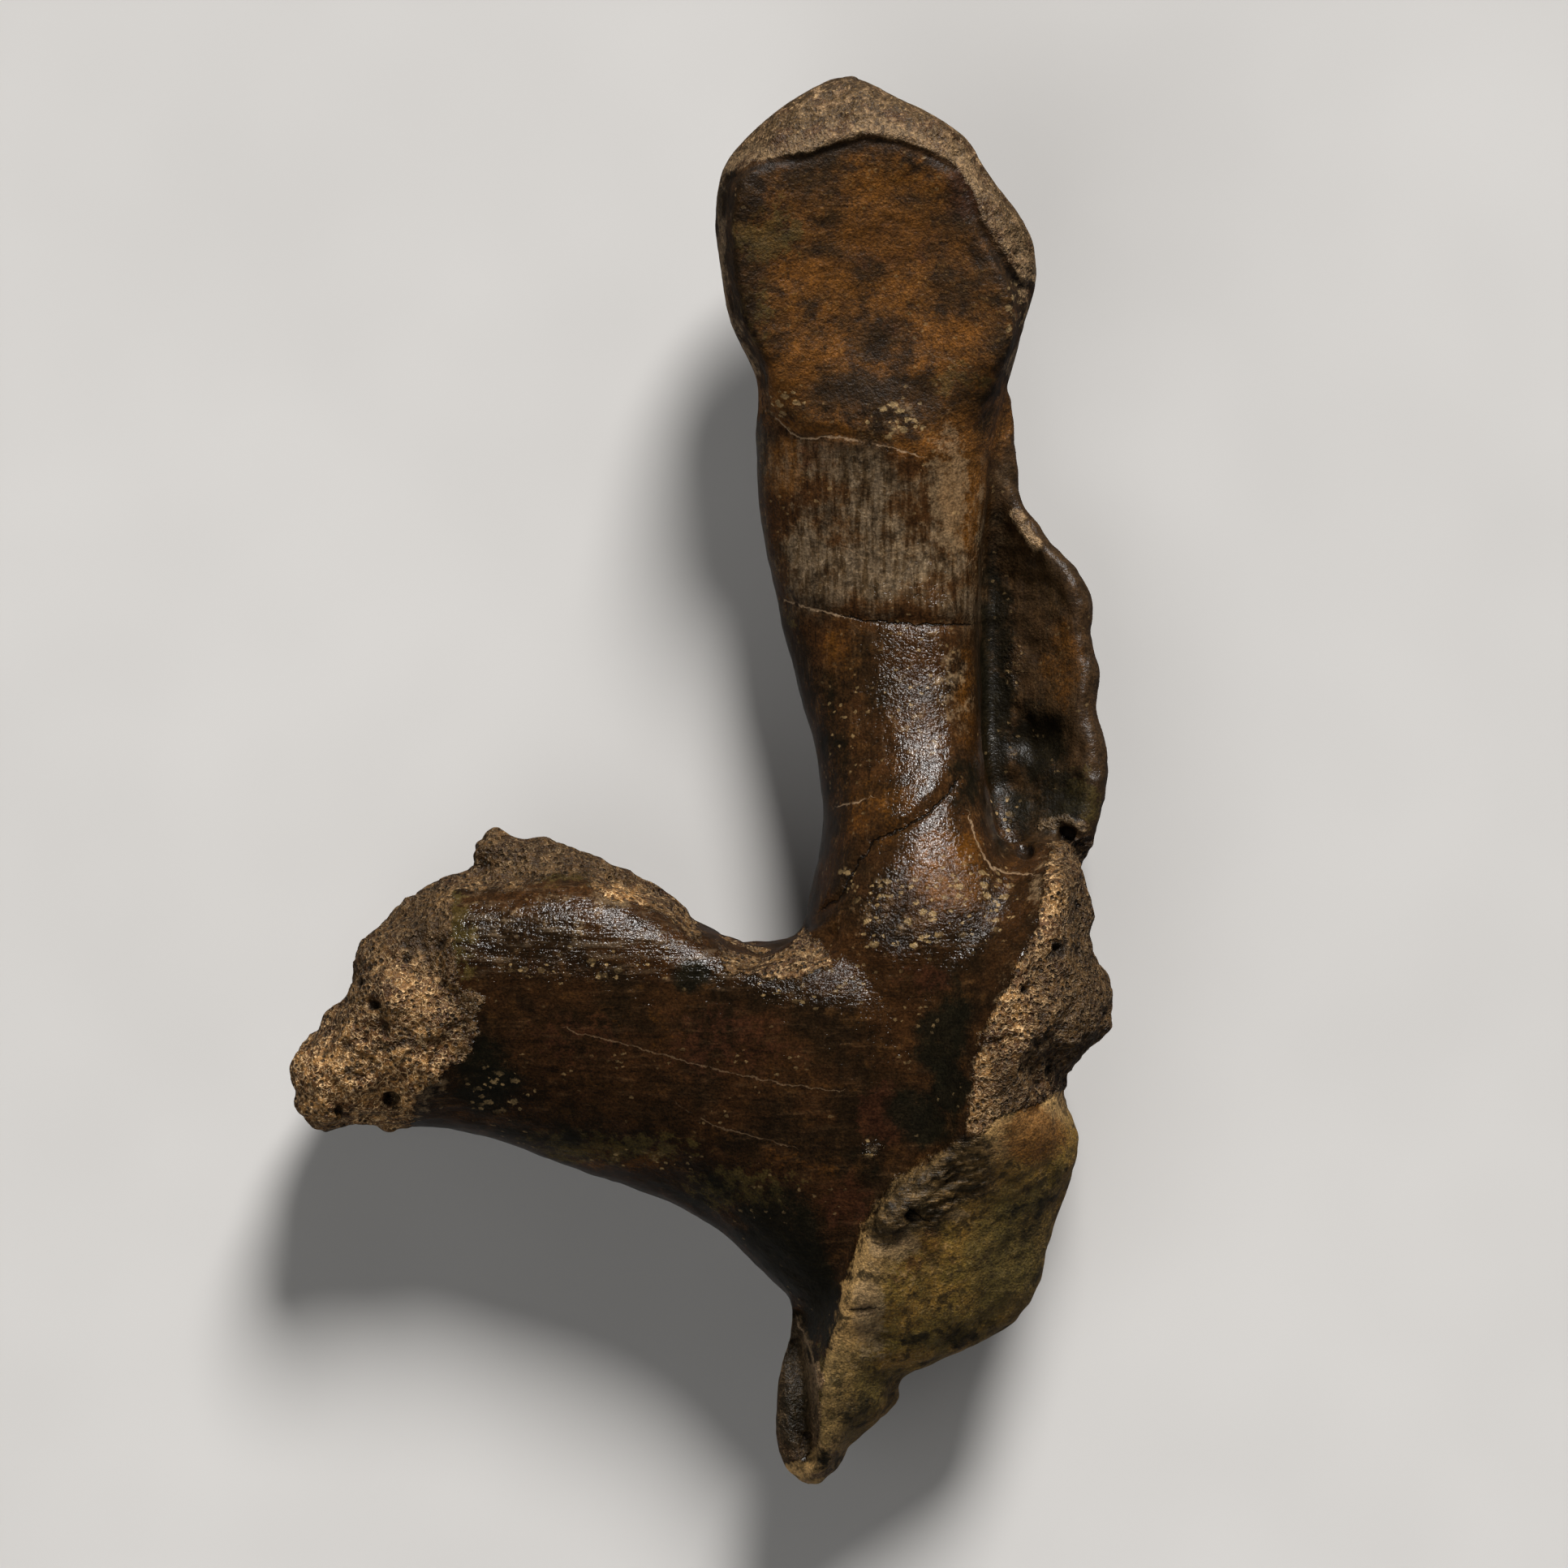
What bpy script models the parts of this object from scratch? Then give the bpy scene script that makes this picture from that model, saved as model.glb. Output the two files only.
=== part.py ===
"""A fossil process of a duck-billed dinosaur's neck vertebra: one solid bone that lies on its back.

X runs across the bone, Y along the long process towards its joint face, and Z up from the surface it rests on.
The origin is under the middle of the bone, on that surface. Sizes in the tables are in millimetres.
"""

import bmesh
import bpy
import numpy as np
from mathutils import Vector, noise

MM = 0.001

# Resolution of the solid
VOXEL = 1.0
BLEND_PASSES = 6
TRIANGLES = 9400
RING_STEPS = 9
STATIONS_PER_SPAN = 4

# The bone rests on three spots of its back, which this much wear has flattened. The trim makes them truly level.
WORN_DEPTH = 0.8
LEVEL_TRIM = 0.03

# Each limb is a row of sections. A section is where it stands along the limb, then four points of its outline as
# (across, height): one edge, the crest of the face that looks up, the other edge, and the keel of the back.
# The four powers shape the quarters between them: 2 is round, above 2 squarer, 1 straight and below 1 hollow.

COLUMN_POWERS = (2.3, 2.5, 2.2, 2.2)
COLUMN = [
    (99.8, (19.8, 32.5), (21.0, 33.5), (22.4, 32.5), (21.0, 31.5)),
    (97.6, (15.7, 31), (21.0, 37), (26.2, 30.5), (21.0, 26)),
    (94.6, (11.2, 29.5), (22, 40), (32.2, 29), (22, 21)),
    (91.0, (7.2, 28.5), (23, 41.5), (38.0, 28), (23, 17.5)),
    (86.0, (3.7, 27.5), (23, 42), (41.2, 27), (24, 15)),
    (80.0, (3.0, 26), (24, 40.5), (46.0, 25.5), (25, 12)),
    (72.0, (3.4, 24), (25, 38), (48.0, 24), (26, 9.5)),
    (64.0, (4.6, 22), (25, 35.5), (46.0, 22), (26, 7.5)),
    (57.5, (7.9, 20), (25, 33), (44.3, 20), (26, 5.5)),
    (49.0, (8.2, 18), (25.5, 30.5), (42.0, 18), (25.5, 3.6)),
    (38.0, (8.9, 16), (27.5, 28.5), (41.2, 16), (25.5, 1.8)),
    (26.0, (11.3, 15), (29.5, 28), (40.6, 15), (26, 0.4)),
    (14.0, (14.3, 15.5), (30.5, 29.5), (40.5, 15.5), (27.5, 0.4)),
    (3.0, (17.2, 17), (30.5, 33), (41.0, 17.5), (29.5, 1.2)),
    (-7.0, (18.0, 19), (30, 37.5), (42.5, 20), (31, 2.2)),
    (-17.0, (16.0, 21), (30.5, 41), (46.0, 23), (32, 3.2)),
    (-30.0, (14.0, 22), (30, 41.5), (46.0, 24), (34, 3.6)),
    (-45.0, (18.0, 22), (30, 39), (44.0, 24), (36, 3)),
]

# The arm's sections stand at these X places, and across is Y, from its lower edge to its upper one.
ARM_POWERS = (2.1, 2.4, 2.1, 2.2)
ARM = [
    (-58.4, (-46, 22), (-42, 25), (-39.6, 22), (-42, 18)),
    (-56.3, (-48.8, 20), (-42, 29.5), (-37.4, 20), (-42, 13)),
    (-52.8, (-50.2, 19), (-41, 33), (-34.0, 19.5), (-41, 8.5)),
    (-50.4, (-50.1, 18), (-39, 34), (-30, 19.5), (-38, 6)),
    (-48.8, (-50.1, 18), (-38, 34.5), (-23.8, 19), (-37, 5)),
    (-46.6, (-50.0, 18), (-36, 35.5), (-20.9, 19), (-36, 4)),
    (-44.0, (-50.1, 17), (-34, 36.5), (-18.5, 18), (-34, 2.4)),
    (-39.4, (-50.0, 16.5), (-31, 37), (-14.9, 18), (-32, 0.9)),
    (-34.8, (-50.3, 16), (-27, 37), (-13.2, 18), (-32, 0.2)),
    (-28.0, (-51.9, 16), (-24, 37), (-12.8, 19), (-32, 0.4)),
    (-20.0, (-54.8, 16), (-22.5, 37.5), (-12.5, 20), (-34, 1.4)),
    (-11.8, (-57.4, 16), (-23, 38), (-14.0, 21), (-36, 2.4)),
    (-4.0, (-60.3, 16), (-26, 38.5), (-17.6, 22), (-38, 3.4)),
    (3.0, (-64.2, 17), (-28, 39), (-21.6, 23), (-40, 4)),
    (11.0, (-71.6, 18), (-30, 40), (-22.4, 24), (-44, 4)),
    (17.0, (-77.0, 19), (-32, 41), (-20, 25), (-46, 4)),
    (25.0, (-74, 20), (-36, 41.5), (-18, 24), (-46, 4)),
    (33.0, (-66, 22), (-38, 41), (-22, 24), (-44, 5)),
]

# The broken wall stands up to a crest that runs down the bone. Its sections stand at these Y places.
WALL_POWERS = (0.8, 1.6, 1.6, 2.0)
WALL = [
    (-8.4, (45, 24), (50.5, 29), (53.8, 25), (50, 18)),
    (-12.4, (38, 25), (50.0, 38), (55.4, 28), (50, 12)),
    (-19.0, (27, 32), (47.8, 43.5), (55.9, 31), (48, 8)),
    (-23.0, (21, 33), (46.2, 46), (55.9, 32), (47.5, 7)),
    (-27.0, (16, 34), (44.3, 47.5), (58.2, 32), (47, 6)),
    (-31.0, (13, 34), (42.3, 48.2), (59.0, 31), (46, 4.4)),
    (-36.0, (11, 33), (40.3, 48.5), (58.4, 30), (45, 3.2)),
    (-40.8, (10, 32), (39.3, 48), (52.4, 30), (43, 2)),
    (-46.0, (9, 30), (38.2, 47), (51.9, 30), (43, 1)),
    (-51.5, (9, 28), (35.6, 45.4), (54.0, 28), (42, 0.3)),
    (-57.0, (10, 25), (29.2, 43), (53.0, 26), (40, 0.4)),
    (-63.0, (12, 22.5), (24.8, 41), (50.4, 25), (37, 1.6)),
    (-70.0, (12.6, 21.5), (22.0, 38.6), (49.4, 24), (33, 4)),
    (-76.0, (13.2, 22), (19.8, 36.2), (46.2, 23), (30, 6.5)),
    (-80.0, (12.6, 23), (18.4, 34.5), (41.0, 22.5), (26, 8.5)),
    (-84.4, (11.2, 23), (17.4, 33), (30.0, 22), (20, 11)),
    (-89.0, (10.6, 23), (16.8, 31.5), (28.8, 21.5), (18, 12.5)),
    (-94.0, (10.6, 22.5), (16.4, 29.5), (22.8, 21), (16, 14.5)),
    (-98.8, (12.2, 22), (16, 26.5), (20.2, 20.5), (16, 17)),
    (-101.0, (14.2, 21.8), (16, 23.5), (18.0, 21), (16, 20)),
]

# A thin wing of bone leaves the back of the column on its right.
WING_POWERS = (0.9, 2.0, 2.0, 1.4)
WING = [
    (54.5, (39, 15), (43.6, 18), (44.8, 16.5), (41, 12)),
    (46.0, (37, 13), (43.6, 18), (45.8, 16), (40, 10)),
    (39.8, (36, 12), (44.4, 18), (46.6, 15.5), (40, 8)),
    (35.0, (36, 11), (47.2, 19), (50.6, 15.5), (42, 7)),
    (30.6, (36, 9), (51.0, 20.5), (54.6, 15.5), (44, 6)),
    (25.0, (36, 8), (53.5, 21), (56.8, 15.5), (45, 5.5)),
    (20.6, (36, 8), (53.5, 20.5), (56.2, 16), (45, 5)),
    (15.6, (36, 8), (54.5, 21), (57.4, 16), (45, 5)),
    (10.6, (36, 8), (54.0, 21.5), (56.8, 16.5), (45, 5)),
    (3.6, (36, 9), (55.6, 22.5), (58.5, 17.5), (45, 5)),
    (-2.0, (36, 10), (55.4, 23), (58.2, 18.5), (45, 5)),
    (-6.6, (36, 12), (53.2, 22.5), (57.0, 19), (45, 6)),
    (-11.0, (38, 14), (51.6, 22), (55.4, 19), (46, 7)),
    (-16.0, (40, 16), (50.0, 22), (54.0, 20), (46, 8)),
]

# A rough strip of broken bone shows behind the arm's upper edge.
STRIP_POWERS = (2.0, 2.0, 2.0, 2.0)
STRIP = [
    (-32.4, (-17, 22), (-11, 25), (-9.4, 23.5), (-13, 17)),
    (-30.4, (-18, 22), (-10.5, 27.5), (-7.0, 23.5), (-13, 14)),
    (-26.0, (-18, 22), (-10.5, 28), (-7.5, 23), (-13, 12)),
    (-21.0, (-18, 22), (-11, 28.5), (-8.0, 23), (-14, 12)),
    (-16.4, (-19, 22), (-12, 28.5), (-9.6, 23), (-15, 12)),
    (-11.0, (-21, 22), (-14.5, 28.5), (-12.2, 23), (-17, 12)),
    (-6.0, (-23, 22), (-17, 28.5), (-14.8, 23), (-20, 12)),
    (-1.5, (-26, 22), (-20, 28), (-18.8, 23), (-23, 13)),
]

# The joint face is a shallow dish that rises towards the head's end, within a bevelled rim. Outlines and paths
# across the bone are (across, along) as seen from above, and heights are above the resting surface.
FACE_MIDDLE = (24.5, 70.0)
FACE_HALF_WIDTHS = (20.0, 21.0)
FACE_HEIGHT = 36.2
FACE_RISE = 0.27
DISH_DEPTH = 1.7
FACE_END = 46.0
FACE_FADE = 16.0
RIM_SLOPE = 0.95
RIM_START = 66.0
RIM_FADE = 8.0
RIM_ROUNDING = 1.8
FACE_OUTLINE = [
    (4.6, 86.2), (8.7, 87.9), (15.0, 88.4), (19.3, 89.9), (23.1, 91.0), (28.3, 90.3), (32.6, 88.7),
    (36.2, 86.7), (38.2, 83.6), (39.6, 78.3), (43.2, 73.3), (45.6, 68.8), (45.6, 62.0), (43.4, 55.5),
    (40.5, 50.0), (30.6, 46.5), (24.0, 48.1), (14.0, 49.0), (8.6, 51.5), (8.6, 57.5), (5.4, 64.0),
    (4.2, 71.0), (3.8, 79.0),
]

# Where the skin of the bone has broken away and its spongy inside shows
ARM_BREAK = [
    (-34.9, -14.0), (-34.9, -19.8), (-34.6, -23.1), (-33.9, -28.9), (-30.1, -29.7), (-31.2, -32.3),
    (-31.9, -37.8), (-35.9, -40.7), (-39.6, -43.6), (-42.5, -52.0), (-62.0, -52.0), (-62.0, -14.0),
]
STRIP_BREAK = [
    (-35.0, -14.6), (-26.5, -15.0), (-21.0, -12.7), (-16.5, -12.9), (-13.6, -15.6), (-5.2, -18.0),
    (0.0, -22.2), (0.0, -10.0), (-35.0, -4.0),
]
NOTCH_CHIP = [(2.0, -20.0), (3.6, -26.0), (8.9, -27.2), (14.1, -27.4), (19.8, -25.7), (20.0, -19.5)]
WALL_BREAK = [
    (50.2, -8.4), (49.3, -9.8), (48.5, -12.7), (47.4, -19.3), (45.6, -23.3), (42.6, -29.2), (40.1, -33.6),
    (38.6, -38.0), (37.9, -43.5), (37.2, -49.6), (39.6, -48.4), (42.1, -46.1), (47.6, -44.8), (50.4, -43.0),
    (56.0, -40.0), (62.0, -32.0), (60.0, -8.0),
]
BREAKS = [ARM_BREAK, STRIP_BREAK, NOTCH_CHIP, WALL_BREAK]
RIM_BREAK = [
    (-2.0, 84.0), (4.6, 86.2), (15.0, 88.4), (23.1, 91.0), (32.6, 88.7), (38.2, 83.6), (39.6, 78.3),
    (43.2, 73.3), (45.6, 68.8), (52.0, 66.0), (52.0, 104.0), (-2.0, 104.0),
]
SPLINTERED = [
    (37.0, -49.6), (31.5, -53.4), (27.8, -55.6), (25.6, -58.6), (23.5, -62.5), (28.0, -64.0), (33.0, -60.5),
    (38.0, -56.0), (40.5, -52.0),
]

# Cracks as paths, with how far the bone on their left stands above that on their right
CRACKS = [
    ([(9.5, 52.6), (11.2, 51.5), (14.1, 49.0), (19.6, 49.2), (24.0, 48.1), (27.7, 47.4), (30.6, 46.5)], 0.5),
    ([(11.8, 26.2), (13.7, 25.6), (18.5, 24.2), (22.6, 23.3), (27.7, 22.8), (33.2, 22.5), (39.5, 22.7)], 0.6),
    ([(17.5, -17.6), (20.0, -15.7), (22.8, -10.5), (24.7, -7.9), (29.5, -5.7), (34.6, -2.0), (36.1, 0.2)], 0.7),
]
CRACK_WIDTH = 1.1
CRACK_REACH = 9.0

# The canal at the lower tip
TROUGH = [(14.4, -76.5), (14.0, -81.5), (15.0, -86.0), (15.0, -91.5), (15.6, -95.5)]
TROUGH_HALF_WIDTH = 2.4
TROUGH_DEPTH = 4.0

# Hollows as (across, along), radius and depth
HOLLOWS = [
    ((48.2, 5.7), 5.5, 2.4),
    ((44.6, -1.0), 4.0, 1.6),
    ((52.3, -7.6), 1.9, 3.2),
    ((46.0, -9.2), 1.8, 2.6),
    ((-43.6, -44.8), 1.6, 2.0),
    ((-50.8, -46.4), 1.3, 1.6),
]

# Relief as wavelength and height
SWELL = (24.0, 0.55)
SPONGE = [(6.5, 0.9), (2.8, 0.55)]
SPLINTERS = (4.0, 1.1)
RIM_SHARE = 0.4
BREAK_DEPTH = 0.6
BREAK_FADE = 1.5

# The splinters lie along this direction across the bone, drawn out to this many times their width.
SPLINTER_ALONG = np.array([0.8, 0.6])
SPLINTER_STRETCH = 3.5


def smooth_between(stations, values, wanted):
    """Values at the wanted stations, on a smooth curve through the given ones."""
    slopes = np.gradient(values, stations, axis=0)
    span = np.clip(np.searchsorted(stations, wanted, side="right") - 1, 0, len(stations) - 2)
    width = (stations[span + 1] - stations[span])[:, None]
    t = ((wanted - stations[span]) / width[:, 0])[:, None]
    start, end = values[span], values[span + 1]
    return (
        (2 * t**3 - 3 * t**2 + 1) * start
        + (t**3 - 2 * t**2 + t) * width * slopes[span]
        + (3 * t**2 - 2 * t**3) * end
        + (t**3 - t**2) * width * slopes[span + 1]
    )


def quarter(edge, top, power):
    """Points of a superellipse quarter from edge to top, both (across, height)."""
    angle = np.linspace(0, np.pi / 2, RING_STEPS)
    across = 1 - np.cos(angle) ** (2 / power)
    height = np.sin(angle) ** (2 / power)
    return np.stack([edge[0] + (top[0] - edge[0]) * across, edge[1] + (top[1] - edge[1]) * height], axis=1)


def ring(section, powers):
    """The closed outline of one section, as points (across, height)."""
    first, crest, last, keel = section.reshape(4, 2)
    return np.concatenate(
        [
            quarter(first, crest, powers[0])[:-1],
            quarter(last, crest, powers[1])[:0:-1],
            quarter(last, keel, powers[2])[:-1],
            quarter(first, keel, powers[3])[:0:-1],
        ]
    )


def limb(bm, table, powers, along_x):
    """Adds one limb to bm as a closed skin through its sections."""
    rows = sorted(table)
    stations = np.array([row[0] for row in rows], float)
    values = np.array([np.concatenate(row[1:]) for row in rows], float)
    spans = [np.linspace(a, b, STATIONS_PER_SPAN, endpoint=False) for a, b in zip(stations, stations[1:])]
    wanted = np.append(np.concatenate(spans), stations[-1])
    rings = []
    for at, section in zip(wanted, smooth_between(stations, values, wanted)):
        points = ring(section, powers)
        places = [(at, a, h) if along_x else (a, at, h) for a, h in points]
        rings.append([bm.verts.new(place) for place in places])
    faces = [bm.faces.new(rings[0]), bm.faces.new(rings[-1])]
    for one, other in zip(rings, rings[1:]):
        for i in range(len(one)):
            j = (i + 1) % len(one)
            faces.append(bm.faces.new((one[i], one[j], other[j], other[i])))
    bmesh.ops.recalc_face_normals(bm, faces=faces)


def object_from(name, bm):
    mesh = bpy.data.meshes.new(name)
    bm.to_mesh(mesh)
    bm.free()
    obj = bpy.data.objects.new(name, mesh)
    bpy.context.scene.collection.objects.link(obj)
    return obj


def evaluated(obj):
    """A new mesh that holds obj with its modifiers applied."""
    graph = bpy.context.evaluated_depsgraph_get()
    return bpy.data.meshes.new_from_object(obj.evaluated_get(graph))


def fused_limbs():
    """All limbs grown into one skin, with their joins blended, in millimetres."""
    bm = bmesh.new()
    limb(bm, COLUMN, COLUMN_POWERS, along_x=False)
    limb(bm, ARM, ARM_POWERS, along_x=True)
    limb(bm, WALL, WALL_POWERS, along_x=False)
    limb(bm, WING, WING_POWERS, along_x=False)
    limb(bm, STRIP, STRIP_POWERS, along_x=True)
    body = object_from("limbs", bm)
    fuse = body.modifiers.new("fuse", "REMESH")
    fuse.mode = "VOXEL"
    fuse.voxel_size = VOXEL
    blend = body.modifiers.new("blend", "SMOOTH")
    blend.factor = 0.5
    blend.iterations = BLEND_PASSES
    mesh = evaluated(body)
    bpy.data.objects.remove(body)
    return mesh


def ease(t):
    """A smooth step from 0 to 1 as t goes from 0 to 1."""
    t = np.clip(t, 0, 1)
    return t * t * (3 - 2 * t)


def from_path(points, path):
    """How far each point lies from a path across the bone, and on which side: positive on its left."""
    nearest = np.full(len(points), np.inf)
    side = np.ones(len(points))
    for a, b in zip(np.array(path), np.array(path)[1:]):
        along = b - a
        offset = points[:, :2] - a
        t = np.clip(offset @ along / (along @ along), 0, 1)
        gap = np.hypot(*(offset - t[:, None] * along).T)
        closer = gap < nearest
        nearest[closer] = gap[closer]
        side[closer] = np.sign(along[0] * offset[:, 1] - along[1] * offset[:, 0])[closer]
    return nearest, side


def depth_inside(points, outline):
    """How far each point lies inside a closed outline, as seen from above; negative outside."""
    edge, _ = from_path(points, outline + outline[:1])
    crossings = np.zeros(len(points), int)
    for (x1, y1), (x2, y2) in zip(outline, outline[1:] + outline[:1]):
        spans = (y1 > points[:, 1]) != (y2 > points[:, 1])
        crossings += spans & (points[:, 0] < x1 + (points[:, 1] - y1) * (x2 - x1) / (y2 - y1 + 1e-9))
    return np.where(crossings % 2 == 1, edge, -edge)


def ripple(points, wavelength, seed):
    """Smooth noise between about -1 and 1 at each point."""
    shift = Vector((seed * 17.3, seed * 5.1, seed * 9.7))
    return np.array([noise.noise(Vector(p) / wavelength + shift) for p in points]) * 1.6


def shape_joint_face(points, up):
    """Presses the dish of the joint face into the column's head and bevels the rim around it."""
    radius = np.hypot(*((points[:, :2] - FACE_MIDDLE) / FACE_HALF_WIDTHS).T)
    dish = DISH_DEPTH * (np.minimum(radius, 1) ** 2 - 1)
    level = FACE_HEIGHT + FACE_RISE * (points[:, 1] - FACE_MIDDLE[1]) + dish
    inside = depth_inside(points, FACE_OUTLINE)
    merged = ease((points[:, 1] - FACE_END) / FACE_FADE)
    points[:, 2] += up * merged * ease(inside / RIM_ROUNDING) * (level - points[:, 2])
    bevel = level + RIM_SLOPE * np.minimum(inside, 0)
    head = ease((points[:, 1] - RIM_START) / RIM_FADE)
    points[:, 2] += up * head * np.minimum(bevel - points[:, 2], 0)


def open_cracks(points, up):
    """Opens a groove along each crack and lifts the bone on one side of it."""
    for path, step in CRACKS:
        gap, side = from_path(points, path)
        raised = step * np.where(side > 0, ease(1 - gap / CRACK_REACH), 0)
        groove = step * ease(1 - gap / CRACK_WIDTH)
        points[:, 2] += up * (raised - groove)


def sink_hollows(points, up):
    """Sinks the hollows and the canal at the lower tip."""
    for middle, radius, depth in HOLLOWS:
        gap = np.hypot(*(points[:, :2] - middle).T)
        points[:, 2] -= up * depth * ease(1 - gap / radius)
    gap, _ = from_path(points, TROUGH)
    points[:, 2] -= up * TROUGH_DEPTH * ease(1 - gap / TROUGH_HALF_WIDTH)


def amount_broken(points, outline):
    return ease(depth_inside(points, outline) / BREAK_FADE)


def drawn_out(points):
    """The points squeezed along the splinters, so that noise read there comes out stretched."""
    run = points[:, :2] @ SPLINTER_ALONG
    squeezed = points.copy()
    squeezed[:, :2] -= (1 - 1 / SPLINTER_STRETCH) * run[:, None] * SPLINTER_ALONG
    return squeezed


def roughen(points, normals, up):
    """Swells over the whole bone, and the coarse relief of its broken parts."""
    wavelength, height = SWELL
    offset = height * ripple(points, wavelength, 1)
    sides = ease((normals[:, 2] + 0.6) / 0.5)
    broken = sides * np.max([amount_broken(points, outline) for outline in BREAKS], axis=0)
    spongy = np.maximum(broken, RIM_SHARE * up * amount_broken(points, RIM_BREAK))
    for seed, (wavelength, height) in enumerate(SPONGE, 2):
        offset += spongy * height * ripple(points, wavelength, seed)
    wavelength, height = SPLINTERS
    offset += up * amount_broken(points, SPLINTERED) * height * ripple(drawn_out(points), wavelength, 5)
    points += normals * (offset - BREAK_DEPTH * broken)[:, None]


def read_points(mesh):
    points = np.empty(len(mesh.vertices) * 3)
    mesh.vertices.foreach_get("co", points)
    return points.reshape(-1, 3)


def write_points(mesh, points):
    mesh.vertices.foreach_set("co", points.ravel())
    mesh.update()


def sculpt(mesh):
    """Gives the blended skin its joint face, cracks, hollows and broken surfaces."""
    points = read_points(mesh)
    normals = np.array([v.normal for v in mesh.vertices])
    up = ease((normals[:, 2] - 0.05) / 0.4)
    shape_joint_face(points, up)
    open_cracks(points, up)
    sink_hollows(points, up)
    roughen(points, normals, up)
    write_points(mesh, points)


def wear_flat(mesh, depth):
    """Flattens the lowest spots of the back, which then lie at height 0."""
    points = read_points(mesh)
    points[:, 2] = np.maximum(points[:, 2] - points[:, 2].min() - depth, 0)
    write_points(mesh, points)


def thinned(mesh):
    """The same skin with few enough triangles."""
    bone = bpy.data.objects.new("bone", mesh)
    bpy.context.scene.collection.objects.link(bone)
    thin = bone.modifiers.new("thin", "DECIMATE")
    thin.ratio = TRIANGLES / sum(len(p.vertices) - 2 for p in mesh.polygons)
    thin.use_collapse_triangulate = True
    mesh = evaluated(bone)
    bpy.data.objects.remove(bone)
    return mesh


def bone_material():
    material = bpy.data.materials.new("fossil bone")
    material.use_nodes = True
    shader = material.node_tree.nodes["Principled BSDF"]
    shader.inputs["Base Color"].default_value = (0.075, 0.042, 0.022, 1)
    shader.inputs["Roughness"].default_value = 0.42
    shader.inputs["Metallic"].default_value = 0
    return material


def build():
    for obj in list(bpy.data.objects):
        bpy.data.objects.remove(obj)
    mesh = fused_limbs()
    sculpt(mesh)
    wear_flat(mesh, WORN_DEPTH)
    mesh = thinned(mesh)
    wear_flat(mesh, LEVEL_TRIM)
    points = read_points(mesh)
    points[:, :2] -= (points[:, :2].min(axis=0) + points[:, :2].max(axis=0)) / 2
    write_points(mesh, points * MM)
    mesh.shade_smooth()
    mesh.materials.append(bone_material())
    bone = bpy.data.objects.new("vertebra_process", mesh)
    bpy.context.scene.collection.objects.link(bone)


build()
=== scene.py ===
"""The look of a fossil vertebra process: its fine relief, its stone and the studio.

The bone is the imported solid's own form, remeshed finely and sculpted in code. Places on the bone are in
millimetres as (across, along), seen from above, and are turned into the frame's metres at the end.
"""

import math

import bmesh
import bpy
import numpy as np
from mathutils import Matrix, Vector, noise


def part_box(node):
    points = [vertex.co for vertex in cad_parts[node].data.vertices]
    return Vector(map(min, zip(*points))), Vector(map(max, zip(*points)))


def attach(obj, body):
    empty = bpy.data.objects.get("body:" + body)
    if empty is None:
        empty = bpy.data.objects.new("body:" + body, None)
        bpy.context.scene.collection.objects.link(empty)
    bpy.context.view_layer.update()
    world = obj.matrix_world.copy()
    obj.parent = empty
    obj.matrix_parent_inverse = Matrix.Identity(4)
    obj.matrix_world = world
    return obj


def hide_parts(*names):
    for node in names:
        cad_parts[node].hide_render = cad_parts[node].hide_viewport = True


NODE = "vertebra_process"
MM = 0.001

# The photograph's framing: one of its pixels spans this many metres at the height in focus.
PIXEL = 0.000115
PHOTO_SIDE = 1932
PHOTO_MIDDLE = (11.9, 0.05)
FOCUS_HEIGHT = 25.0
LENS = 200.0
CLIP_END = 20

# The studio
FLOOR_HALF_SIDE = 12.0
FLOOR_LEVEL = -0.0002
BACKDROP_HEIGHT = 9.0
BACKDROP_SIDES = 64
BACKDROP_SHARE = 0.99
FLOOR_DARK = (0.50, 0.492, 0.48, 1)
FLOOR_PALE = (0.54, 0.532, 0.52, 1)
FLOOR_ROUGHNESS = 0.8
BACKDROP_PALE = (0.64, 0.63, 0.62, 1)
SKY_COLOUR = (1.0, 0.98, 0.95, 1)
SKY_STRENGTH = 0.06

# Fineness of the sculpted skin
VOXEL = 0.45
SMOOTH_FACTOR = 0.5
SMOOTH_PASSES = 14
TRIANGLES = 192000

# The relief starts at this height above the surface that the bone rests on, and fades in over this much
RELIEF_FROM = 0.05
RELIEF_FADE = 0.6

# How steeply a broken surface ends where the skin turns away from above
TURN = 10

# How far from a crack its distance is kept, and where its nearness fades out
CRACK_REACH = 2.5
CRACK_NEAR = 0.9
CRACK_FADE = 0.8

# Steps that set each seed's noise apart, and factors that bring noise and cells to about 1
SEED_STEPS = (17.3, 5.1, 9.7)
RIPPLE_GAIN = 1.6
CELL_GAIN = 1.6

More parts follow.
